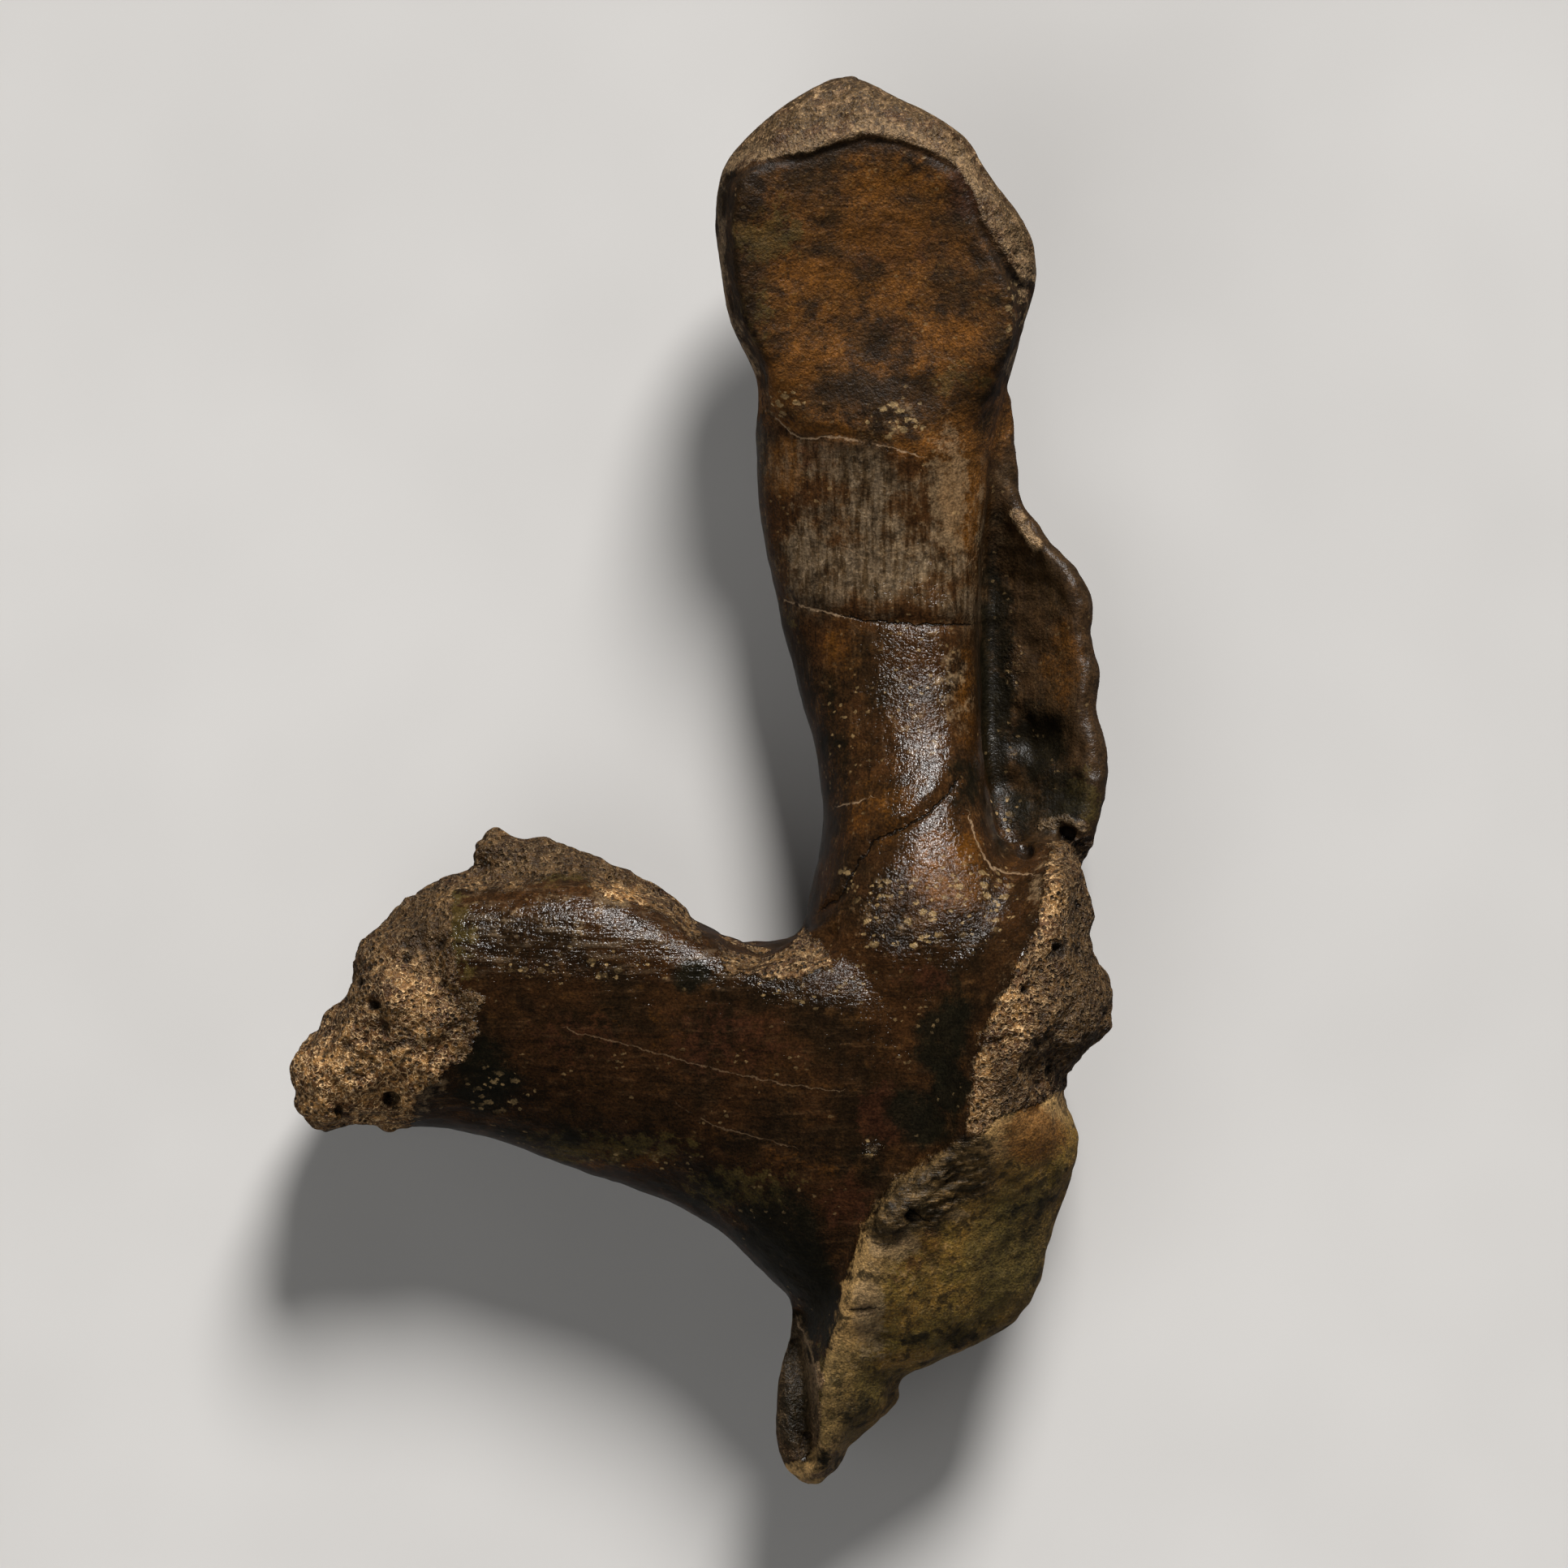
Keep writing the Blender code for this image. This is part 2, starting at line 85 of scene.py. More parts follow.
# Outlines and paths on the bone
RIM_EDGE = [
    (4.6, 86.2), (8.7, 87.9), (15.0, 88.4), (19.3, 89.9), (23.1, 91.0), (28.3, 90.3), (32.6, 88.7),
    (36.2, 86.7), (38.2, 83.6), (39.6, 79.3), (42.4, 75.3), (45.2, 71.4),
]
FACE = RIM_EDGE + [
    (52.0, 68.5), (51.0, 60.0), (46.4, 52.0), (42.0, 47.0), (30.6, 46.5), (24.0, 48.1), (16.0, 49.0),
    (11.2, 51.5), (6.0, 52.0), (-2.0, 60.0), (-4.0, 70.0), (-4.0, 85.5),
]
RIM = RIM_EDGE + [(54.0, 69.0), (54.0, 104.0), (-2.0, 104.0), (-2.0, 84.5)]
PALE_LIPS = [
    [(2.9, 86.4), (2.7, 80.0), (3.1, 74.0), (3.9, 68.0), (5.3, 64.0), (7.7, 58.4)],
    [(45.8, 71.2), (46.4, 67.0), (45.6, 62.4), (43.6, 58.6)],
    [(44.6, 38.4), (46.0, 35.8), (47.8, 33.6)],
    [(45.4, 38.2), (46.8, 36.0), (48.6, 33.9)],
    [(48.6, -5.6), (51.4, -5.0), (54.1, -6.2)],
    [(14.0, -76.5), (15.5, -79.8), (16.9, -84.6)],
    [(15.0, -98.8), (17.8, -97.6), (19.4, -95.0)],
]
ARM_BREAK = [
    (-35.5, -12.0), (-34.9, -16.6), (-34.9, -19.8), (-34.6, -23.1), (-33.9, -28.9), (-30.1, -29.7),
    (-31.2, -32.3), (-31.9, -37.8), (-35.9, -40.7), (-39.6, -43.6), (-42.5, -53.0), (-62.0, -53.0),
    (-62.0, -12.0),
]
STRIP_BREAK = [
    (-36.0, -14.6), (-26.5, -15.0), (-21.0, -12.7), (-16.5, -12.9), (-13.6, -15.6), (-5.2, -18.0),
    (0.0, -22.6), (0.0, -10.0), (-36.0, -2.0),
]
NOTCH_CHIP = [
    (2.4, -20.0), (3.6, -26.0), (8.9, -27.2), (14.1, -27.2), (18.6, -25.0), (17.0, -22.6),
    (14.0, -20.0),
]
WALL_BREAK = [
    (50.2, -8.0), (49.3, -9.8), (48.5, -12.7), (47.4, -19.3), (45.6, -23.3), (42.6, -29.2),
    (40.1, -33.6), (38.6, -38.0), (37.9, -43.5), (37.2, -49.6), (39.6, -48.4), (42.1, -46.1),
    (47.6, -44.8), (50.4, -43.0), (56.0, -40.0), (62.0, -32.0), (60.0, -8.0),
]
LOBE = [
    (37.2, -49.6), (31.5, -53.4), (27.8, -55.6), (25.6, -58.6), (23.1, -62.3), (21.9, -65.8),
    (20.4, -70.3), (19.4, -74.0), (17.9, -79.9), (16.9, -84.2), (17.2, -89.0), (16.6, -93.5),
    (14.5, -95.8), (8.0, -97.5), (6.0, -104.0), (62.0, -104.0), (62.0, -38.0), (56.0, -40.0),
    (50.4, -43.0), (47.6, -44.8), (42.1, -46.1), (39.6, -48.4),
]
TIP_FLANK = [
    (10.0, -75.0), (13.6, -76.0), (15.2, -80.0), (16.6, -84.8), (17.2, -89.0), (16.6, -93.5),
    (14.5, -95.8), (6.0, -98.0),
]
SPLINTERED = [
    (37.0, -49.0), (31.5, -53.0), (27.8, -55.2), (25.2, -58.6), (23.0, -62.5), (26.0, -65.0),
    (30.0, -62.6), (33.0, -63.0), (37.0, -58.5), (41.5, -57.0), (41.0, -52.0), (39.5, -48.6),
]
NECK_SCAR = [
    (9.0, 48.5), (20.0, 47.0), (31.0, 45.0), (41.0, 47.0), (41.5, 24.0), (33.0, 23.5), (22.0, 24.5),
    (11.0, 27.0),
]
ARM_SHEEN = [
    (-35.0, -17.0), (-26.0, -15.6), (-18.0, -14.0), (-5.0, -18.6), (6.0, -24.6), (4.0, -28.0),
    (-12.0, -25.5), (-24.0, -25.0), (-34.0, -27.0),
]
WING_SIDE = [
    (41.8, 57.0), (41.0, 44.0), (40.9, 28.0), (41.2, 12.0), (43.0, 0.0), (45.5, -7.0), (50.2, -8.2),
    (62.0, -8.0), (62.0, 57.0),
]

DARK_CRACKS = [
    [(20.5, 23.8), (22.6, 23.3), (27.7, 22.8), (33.2, 22.5), (38.2, 22.7)],
    [(17.5, -17.6), (20.0, -15.7), (21.4, -12.6), (22.8, -10.5), (24.7, -7.9), (26.9, -7.0), (29.5, -5.7),
     (32.4, -3.9), (34.6, -2.0), (36.1, 0.2)],
    [(21.6, -73.8), (24.4, -73.6)],
    [(29.4, -59.4), (31.6, -60.9)],
]
PALE_CRACKS = [
    [(11.2, 26.4), (13.7, 25.6), (16.2, 24.7), (18.5, 24.2), (21.0, 23.6)],
    [(9.5, 53.0), (11.2, 51.5), (12.6, 50.0), (14.1, 49.0), (16.7, 48.9), (19.6, 49.2), (22.0, 48.6),
     (24.0, 48.1), (27.7, 47.4), (30.6, 46.5)],
    [(38.2, -5.0), (39.4, -9.0), (40.8, -11.6), (43.1, -12.4), (46.3, -12.6)],
    [(20.0, -3.0), (23.3, -2.1)],
    [(14.0, -76.5), (15.5, -79.8), (16.7, -84.2)],
]
FAINT_SCRATCHES = [
    [(-18.1, -34.6), (-10.9, -36.3), (-2.5, -38.8), (5.9, -40.8), (13.2, -42.2), (19.4, -42.8)],
    [(-3.0, -45.2), (2.0, -48.0), (8.1, -49.6), (12.6, -50.8)],
    [(32.5, 60.5), (34.6, 60.1), (37.0, 58.8)],
    [(34.6, 28.4), (37.4, 30.6), (39.6, 32.8)],
    [(20.6, 33.4), (23.6, 32.0), (27.0, 32.6), (30.8, 33.8)],
]

# Small deep holes as (across, along), radius and depth
HOLES = [
    ((-43.6, -44.8), 1.3, 1.8), ((-50.8, -46.4), 1.0, 1.4), ((52.2, -7.2), 1.5, 1.1),
    ((46.0, -9.2), 1.4, 1.4), ((32.3, 31.8), 0.7, 0.5), ((29.9, -60.5), 1.4, 1.6),
    ((15.0, -92.6), 0.9, 1.0), ((-46.0, -31.0), 1.1, 1.2), ((-48.5, -27.5), 0.9, 1.0),
    ((-41.5, -24.5), 0.9, 0.9), ((50.8, -23.0), 1.2, 1.2), ((45.8, -28.6), 1.1, 1.2),
]

# Stains, painted shade and painted light as (across, along), half-widths and strength
# Dark marks: partly dark stains, partly painted shade in the valley by the column, the wing's hollow, just
# inside the rim and by the wall's crest
DARK_STAINS_AND_SHADE = [
    ((36.0, -31.0), (3.0, 4.5), 0.8), ((33.5, -36.5), (4.2, 5.5), 0.95),
    ((35.0, -42.5), (3.4, 5.0), 0.95), ((31.0, -46.5), (5.5, 5.0), 0.9),
    ((11.0, -65.7), (8.0, 10.0), 1.0), ((17.0, -72.5), (3.4, 8.0), 0.9),
    ((-30.0, -41.7), (5.0, 6.5), 0.95), ((-24.0, -49.5), (14.0, 3.0), 0.6),
    ((0.0, -58.0), (12.0, 4.0), 0.5), ((48.2, 5.7), (4.5, 6.5), 1.0), ((42.0, 14.0), (3.4, 26.0), 0.9),
    ((45.0, -3.5), (4.0, 5.0), 0.7), ((51.0, -2.0), (5.0, 6.0), 0.8), ((-1.0, -27.0), (3.6, 2.8), 0.9),
    ((4.9, 81.5), (3.6, 4.6), 0.8), ((19.4, 67.6), (5.0, 3.0), 0.40), ((35.0, 66.5), (5.0, 2.8), 0.42),
    ((26.0, 61.0), (6.5, 5.0), 0.55), ((26.0, 54.6), (14.0, 5.0), 0.78),
    ((5.5, 70.0), (5.0, 9.0), 0.65), ((38.0, 56.0), (6.0, 4.0), 0.55), ((5.0, 82.5), (4.5, 5.0), 0.9),
    ((38.5, 75.0), (3.0, 7.0), 0.5), ((9.5, 62.0), (6.0, 4.0), 0.5), ((37.5, 0.0), (3.0, 6.0), 0.6),
    ((19.0, 6.0), (3.0, 16.0), 0.5), ((13.0, -79.5), (4.0, 5.5), 0.95),
    ((15.0, -92.4), (0.9, 2.2), 0.9), ((13.5, -88.0), (3.2, 9.0), 1.0),
    ((18.0, -94.0), (3.5, 4.0), 0.6), ((22.0, -88.0), (4.0, 4.0), 0.55),
    ((36.7, -78.0), (3.6, 2.2), 0.7), ((39.0, -56.9), (2.0, 1.5), 0.9),
    ((47.0, -61.0), (5.0, 4.0), 0.5), ((31.0, -78.5), (3.0, 2.0), 0.5),
    ((13.0, 89.0), (14.0, 1.5), 0.3), ((23.0, -53.5), (4.0, 3.0), 0.5),
]
RED_STAINS = [
    ((25.9, -46.0), (4.5, 5.0), 0.9), ((31.5, -27.0), (5.5, 3.0), 0.6),
    ((20.5, -59.0), (4.5, 5.0), 0.7), ((4.0, -36.0), (14.0, 7.0), 0.5),
    ((-17.0, -36.0), (12.0, 6.0), 0.4), ((50.0, -21.0), (4.0, 3.0), 0.3),
    ((37.1, 83.0), (3.4, 4.4), 0.8), ((23.5, -73.8), (2.0, 1.2), 0.9), ((26.8, 64.5), (2.0, 2.0), 0.6),
    ((27.0, 76.0), (10.0, 5.0), 0.5), ((46.0, -49.5), (8.0, 6.0), 0.6), ((16.0, 46.5), (4.0, 4.0), 0.4),
]
OCHRE_STAINS = [
    ((37.2, 43.0), (4.8, 13.0), 0.9), ((12.6, 58.2), (5.0, 5.5), 1.0), ((17.5, 71.5), (5.5, 3.2), 1.0),
    ((26.0, 78.0), (9.0, 6.0), 0.7), ((35.0, 63.5), (7.0, 3.0), 0.8), ((35.0, -12.0), (7.0, 8.0), 0.7),
    ((12.0, 45.0), (3.6, 5.5), 0.7), ((26.0, -4.0), (8.0, 7.0), 0.4),
    ((-8.0, -34.0), (14.0, 6.0), 0.25), ((46.8, -48.9), (5.4, 5.0), 0.9),
    ((51.5, 17.0), (4.0, 9.0), 0.5), ((31.0, 53.0), (9.0, 4.0), 0.45),
    ((12.0, -52.0), (10.0, 4.0), 0.3), ((-12.0, -53.0), (12.0, 3.0), 0.5),
    ((20.0, 20.0), (4.0, 8.0), 0.5), ((30.0, -66.0), (8.0, 5.0), 0.5),
    ((17.0, -53.0), (5.0, 3.0), 0.35), ((38.0, 12.0), (2.6, 10.0), 0.5),
    ((13.0, -41.0), (7.0, 4.0), 0.3), ((28.0, 60.0), (6.0, 3.0), 0.4),
]
OLIVE_STAINS = [
    ((9.0, 77.5), (6.5, 6.0), 0.6), ((7.0, 66.0), (4.0, 6.0), 0.5), ((45.0, -66.0), (9.0, 12.0), 0.8),
    ((30.0, -76.0), (9.0, 7.0), 0.45), ((20.0, -86.0), (6.0, 9.0), 0.85),
    ((6.0, -57.0), (10.0, 4.0), 0.6), ((54.0, -2.0), (3.5, 5.0), 0.7), ((12.0, 18.0), (3.0, 10.0), 0.4),
    ((52.0, -12.0), (4.0, 4.0), 0.3), ((-14.0, -51.5), (18.0, 3.0), 0.6),
    ((-33.0, -26.0), (3.0, 3.0), 0.35), ((-38.0, -20.0), (7.0, 7.0), 1.0),
    ((-20.0, -10.5), (18.0, 4.0), 0.8), ((55.0, -28.0), (5.0, 16.0), 1.0),
    ((43.0, -43.0), (5.0, 4.0), 0.8), ((36.0, 57.0), (7.0, 3.0), 0.5),
]
PALE_STAINS_AND_LIGHT = [
    # Pale marks: mostly pale stains; on the broken arm end they are painted light, where that end turns from
    # the key light
    ((30.0, 33.0), (8.0, 7.0), 0.45), ((36.0, 14.0), (3.5, 11.0), 0.6),
    ((35.5, 41.0), (4.0, 12.0), 0.9), ((40.0, 37.5), (0.8, 10.5), 0.9), ((14.0, 36.0), (4.0, 8.0), 0.4),
    ((28.2, 51.5), (5.0, 3.2), 0.5), ((26.7, -19.0), (9.0, 5.5), 0.3), ((39.5, -17.5), (6.0, 5.0), 0.4),
    ((17.0, -28.0), (9.0, 4.0), 0.3), ((-21.0, -20.0), (15.0, 4.0), 0.5),
    ((27.6, -64.3), (5.0, 3.0), 1.0), ((24.0, -80.5), (5.0, 3.5), 0.5),
    ((31.0, 12.0), (6.0, 14.0), 0.4), ((-38.0, -39.0), (6.0, 5.0), 0.6),
    ((-34.0, -16.6), (5.0, 1.6), 0.4), ((-12.0, -16.0), (5.0, 1.8), 0.9),
    ((24.2, -51.1), (1.5, 1.0), 0.9), ((36.5, -60.5), (2.6, 1.6), 0.8),
    ((-20.0, -16.0), (5.0, 1.0), 0.5), ((-47.0, -42.0), (12.0, 9.0), 1.0),
    ((-40.0, -30.0), (5.0, 8.0), 0.6), ((48.5, -16.0), (3.0, 8.0), 0.6),
    ((43.5, -31.0), (3.5, 7.0), 0.6), ((39.5, -42.0), (2.5, 6.0), 0.7),
    ((23.8, -74.0), (3.0, 8.0), 0.95), ((28.5, -68.0), (5.0, 4.0), 0.5),
]
FLECK_ZONES = [
    ((31.0, 15.0), (8.0, 8.0), 0.35), ((20.5, 8.0), (5.0, 10.0), 0.3), ((28.2, -18.4), (7.5, 6.5), 1.0),
    ((20.5, -13.4), (1.6, 2.0), 1.0), ((38.5, -16.0), (8.0, 7.0), 0.7),
    ((15.0, -28.0), (10.0, 3.5), 0.6), ((-28.0, -43.5), (5.0, 4.0), 0.7),
    ((28.2, 51.3), (5.5, 3.2), 1.0), ((12.0, 54.0), (4.0, 3.0), 0.7), ((24.2, -51.1), (1.8, 1.3), 1.0),
    ((43.0, -4.0), (3.0, 5.0), 0.5), ((-18.0, -25.5), (15.0, 3.0), 0.5),
    ((-8.0, -53.0), (10.0, 2.0), 0.5), ((44.5, 66.0), (1.8, 7.0), 0.9), ((44.8, 17.0), (1.5, 4.0), 0.5),
]


def ease(t):
    """A smooth step from 0 to 1 as t goes from 0 to 1."""
    t = np.clip(t, 0, 1)
    return t * t * (3 - 2 * t)


def from_path(points, path):
    """How far each point lies from a path across the bone, and on which side: positive on its left."""
    nearest = np.full(len(points), np.inf)
    side = np.ones(len(points))
    for a, b in zip(np.array(path), np.array(path)[1:]):
        along = b - a
        offset = points[:, :2] - a
        t = np.clip(offset @ along / (along @ along), 0, 1)
        gap = np.hypot(*(offset - t[:, None] * along).T)
        closer = gap < nearest
        nearest[closer] = gap[closer]
        side[closer] = np.sign(along[0] * offset[:, 1] - along[1] * offset[:, 0])[closer]
    return nearest, side


def depth_inside(points, outline):
    """How far each point lies inside a closed outline, as seen from above; negative outside."""
    edge, _ = from_path(points, outline + outline[:1])
    crossings = np.zeros(len(points), int)
    for (x1, y1), (x2, y2) in zip(outline, outline[1:] + outline[:1]):
        spans = (y1 > points[:, 1]) != (y2 > points[:, 1])
        crossings += spans & (points[:, 0] < x1 + (points[:, 1] - y1) * (x2 - x1) / (y2 - y1 + 1e-9))
    return np.where(crossings % 2 == 1, edge, -edge)


def seed_shift(seed):
    """Where in the noise the pattern of this seed lies."""
    return Vector([seed * step for step in SEED_STEPS])


def ripple(points, wavelength, seed, stretch=(1, 1, 1)):
    """Smooth noise between about -1 and 1, drawn out along each axis by stretch."""
    shift = seed_shift(seed)
    scaled = points / (wavelength * np.array(stretch))
    return np.array([noise.noise(Vector(p) + shift) for p in scaled]) * RIPPLE_GAIN


def cells(points, spacing, seed):
    """How close each point is to the middle of its cell: 1 there, and 0 at the cell's wall."""
    shift = seed_shift(seed)
    gaps = [noise.voronoi(Vector(p) + shift)[0][0] for p in points / spacing]
    return 1 - np.minimum(np.array(gaps) * CELL_GAIN, 1)


def spread(points, stains):
    """The strongest of several soft oval stains at each point."""
    total = np.zeros(len(points))
    for middle, half, strength in stains:
        gap = np.hypot(*((points[:, :2] - middle) / half).T)
        total = np.maximum(total, strength * ease(1.35 - gap))
    return total


def line_fields(points, paths):
    """Signed distance to the nearest of several paths, and how near that path is, from 1 down to 0."""
    gaps, sides = zip(*(from_path(points, path) for path in paths))
    which = np.argmin(gaps, axis=0)
    every = np.arange(len(points))
    gap = np.array(gaps)[which, every]
    side = np.array(sides)[which, every]
    near = ease(1 - (gap - CRACK_NEAR) / CRACK_FADE)
    return np.clip(gap, 0, CRACK_REACH) * side, near


class Skin:
    """The fine mesh's points in millimetres and its normals, with what the relief and the stone share.

    up is 1 where the skin faces upwards, sides is 1 on its steep sides as well, and wander moves the
    borders of what is broken.
    """

    def __init__(self, mesh):
        self.mesh = mesh
        self.read()

    def read(self):
        """Takes the points and normals from the mesh."""
        count = len(self.mesh.vertices)
        points = np.empty(count * 3)
        self.mesh.vertices.foreach_get("co", points)
        self.points = points.reshape(-1, 3) / MM
        normals = np.empty(count * 3, np.float32)
        self.mesh.vertex_normals.foreach_get("vector", normals)
        self.normals = normals.reshape(-1, 3).astype(float)
        self.up = ease((self.normals[:, 2] - 0.02) / 0.35)
        self.sides = ease((self.normals[:, 2] + 0.7) / 0.5)
        self.wander = ripple(self.points, 4.0, 57) + 0.5 * ripple(self.points, 1.8, 58)

    def write(self):
        """Gives the moved points back to the mesh."""
        self.mesh.vertices.foreach_set("co", (self.points * MM).ravel())
        self.mesh.update()

    def spongy(self):
        """How far inside the spongy breaks each point lies."""
        breaks = ((ARM_BREAK, -0.55), (WALL_BREAK, -0.55), (STRIP_BREAK, 0.0), (NOTCH_CHIP, 0.3))
        return np.max([self.within(outline, lowest) for outline, lowest in breaks], axis=0)

    def within(self, outline, lowest):
        """How far inside an outline each point lies, fading where the skin's upward slope is below lowest."""
        depth = depth_inside(self.points, outline) + 1.6 * (1 - self.up) * self.wander
        return np.minimum(depth, TURN * (self.normals[:, 2] - lowest) + 1.2 * self.wander)

    def keep(self, name, values):
        """Stores a value for each point, which the material reads by this name."""
        layer = self.mesh.attributes.new(name, "FLOAT", "POINT")
        layer.data.foreach_set("value", values.astype(np.float32))


def spongy_relief(skin, amount):
    """Broken spongy bone: lumps, struts and the pores between them."""
    points = skin.points
    relief = 0.40 * ripple(points, 6.5, 11) + 0.20 * ripple(points, 2.8, 12)
    relief += 0.12 * ripple(points, 1.3, 13)
    relief -= 0.26 * ease(cells(points, 1.7, 14) * 1.7)
    relief -= 0.45 * ease(cells(points, 4.6, 15) * 2.2 - 1.0)
    calm = 1 - 0.6 * ease(depth_inside(points, NOTCH_CHIP) + 1)
    return amount * relief * calm


def rim_relief(skin, amount):
    """The worn, granular bevel around the joint face, whose inner lip stands proud."""
    edge, _ = from_path(skin.points, RIM_EDGE)
    lip = 0.30 * ease(1 - edge / 1.6)
    right_side = ease((skin.points[:, 0] - 26) / 8)
    pits = 0.45 * ease(cells(skin.points, 1.9, 23) * 2.0 - 0.5) * right_side
    return amount * (lip + 0.24 * ripple(skin.points, 2.6, 21) + 0.15 * ripple(skin.points, 1.2, 22) - pits)


def face_relief(skin):
    """The joint face: lowest just inside its rim, with shallow dents."""
    edge, _ = from_path(skin.points, RIM_EDGE)
    inside = ease(depth_inside(skin.points, FACE) / 0.7) * skin.up
    dents = 0.14 * ripple(skin.points, 5.0, 24) + 0.07 * ripple(skin.points, 1.5, 25)
    return inside * (dents - 0.40 * ease(1 - (edge - 0.4) / 1.8) - 0.15 * ease(1 - edge / 9))


def lobe_relief(skin):
    """Dents of the smooth inner wall."""
    inside = ease(depth_inside(skin.points, LOBE)) * skin.sides
    return inside * (0.42 * ripple(skin.points, 7.0, 26) + 0.18 * ripple(skin.points, 2.4, 27))


def splinter_relief(skin, amount):
    """Thin ledges left where the wall broke in flakes."""
    across = np.array([0.8, 0.6])
    squeezed = skin.points.copy()
    squeezed[:, :2] -= 0.6 * (skin.points[:, :2] @ across)[:, None] * across
    ledges = ripple(squeezed, 1.2, 31)
    return amount * (0.36 * (1 - 2 * np.abs(ledges)) + 0.22 * ripple(skin.points, 0.9, 32))


def grain_relief(skin, outline, direction, height, seed):
    """Striations of the bone's skin: direction 0 runs them across, and direction 1 up the bone."""
    stretch = [1, 1, 1]
    stretch[direction] = 9
    amount = skin.up * ease(depth_inside(skin.points, outline) / 4)
    fine = 0.7 * ripple(skin.points, 0.8, seed + 1, stretch)
    return amount * height * (ripple(skin.points, 1.5, seed, stretch) + fine)


def carve_lines(skin):
    """Grooves along the cracks, and the small holes."""
    lowered = np.zeros(len(skin.points))
    for paths, depth, half_width in ((DARK_CRACKS, 0.22, 0.65), (PALE_CRACKS, 0.06, 0.6)):
        for path in paths:
            gap, _ = from_path(skin.points, path)
            lowered = np.maximum(lowered, depth * ease(1 - gap / half_width))
    for middle, radius, depth in HOLES:
        gap = np.hypot(*(skin.points[:, :2] - middle).T)
        lowered = np.maximum(lowered, depth * ease(1.15 - gap / radius))
    return -skin.up * lowered


def relief_of(skin):
    """How far each point moves along its normal, in millimetres."""
    points = skin.points
    spongy = ease(skin.spongy() + 0.3 * ripple(points, 2.5, 41) + 0.5) * skin.sides
    rim = ease(np.maximum(depth_inside(points, RIM), depth_inside(points, TIP_FLANK)) / 0.8) * skin.up
    flakes = ease(depth_inside(points, SPLINTERED) / 1.5) * skin.up
    smooth = (1 - spongy) * (1 - rim) * (1 - flakes)
    relief = spongy_relief(skin, spongy) + rim_relief(skin, rim) + splinter_relief(skin, flakes)
    relief += face_relief(skin) * (1 - rim) + lobe_relief(skin) * (1 - spongy) * (1 - flakes)
    relief += smooth * (0.12 * ripple(points, 5.0, 42) + 0.05 * ripple(points, 1.6, 43))
    thin_edge = smooth * ease(depth_inside(points, WING_SIDE) / 4)
    relief += thin_edge * (0.16 * ripple(points, 2.6, 50) - 0.25 * ease(cells(points, 3.2, 51) * 1.8 - 0.4))
    for path in PALE_LIPS:
        gap, _ = from_path(points, path)
        relief += 0.22 * skin.up * ease(1 - gap / 1.1)
    relief += smooth * grain_relief(skin, NECK_SCAR, 1, 0.07, 44)
    relief += smooth * grain_relief(skin, ARM_SHEEN, 0, 0.09, 46)
    flecks = spread(points, FLECK_ZONES) * skin.up * smooth
    relief -= flecks * 0.16 * ease(cells(points, 1.8, 48) * 1.6 - 0.35)
    return relief + carve_lines(skin)


def drop_crumbs(mesh):
    """Deletes the specks that the remesh left beside the skin, so that one connected piece stays."""
    ends = np.empty(len(mesh.edges) * 2, np.int32)
    mesh.edges.foreach_get("vertices", ends)
    start, end = ends.reshape(-1, 2).T
    part = np.arange(len(mesh.vertices))
    spreading = True
    while spreading:
        lowest = np.minimum(part[start], part[end])
        joined = part.copy()
        np.minimum.at(joined, start, lowest)
        np.minimum.at(joined, end, lowest)
        joined = joined[joined]
        spreading = bool((joined != part).any())
        part = joined
    crumbs = np.flatnonzero(part != np.bincount(part).argmax())
    work = bmesh.new()
    work.from_mesh(mesh)
    work.verts.ensure_lookup_table()
    bmesh.ops.delete(work, geom=[work.verts[i] for i in crumbs], context="VERTS")
    work.to_mesh(mesh)
    work.free()


def fine_mesh(source):
    """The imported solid's form as a fine, even skin."""
    skin = bpy.data.objects.new("fine", source.data.copy())
    bpy.context.scene.collection.objects.link(skin)
    remesh = skin.modifiers.new("remesh", "REMESH")
    remesh.mode = "VOXEL"
    remesh.voxel_size = VOXEL * MM
    smooth = skin.modifiers.new("smooth", "SMOOTH")
    smooth.factor = SMOOTH_FACTOR
    smooth.iterations = SMOOTH_PASSES
    graph = bpy.context.evaluated_depsgraph_get()
    mesh = bpy.data.meshes.new_from_object(skin.evaluated_get(graph))
    bpy.data.objects.remove(skin)
    drop_crumbs(mesh)
    return mesh


def thinned(mesh):
    """The sculpted skin with fewer triangles where it is smooth."""
    skin = bpy.data.objects.new("thinned", mesh)
    bpy.context.scene.collection.objects.link(skin)
    thin = skin.modifiers.new("thin", "DECIMATE")
    thin.ratio = min(1, TRIANGLES / sum(len(p.vertices) - 2 for p in mesh.polygons))
    graph = bpy.context.evaluated_depsgraph_get()
    result = bpy.data.meshes.new_from_object(skin.evaluated_get(graph))
    bpy.data.objects.remove(skin)
    return result


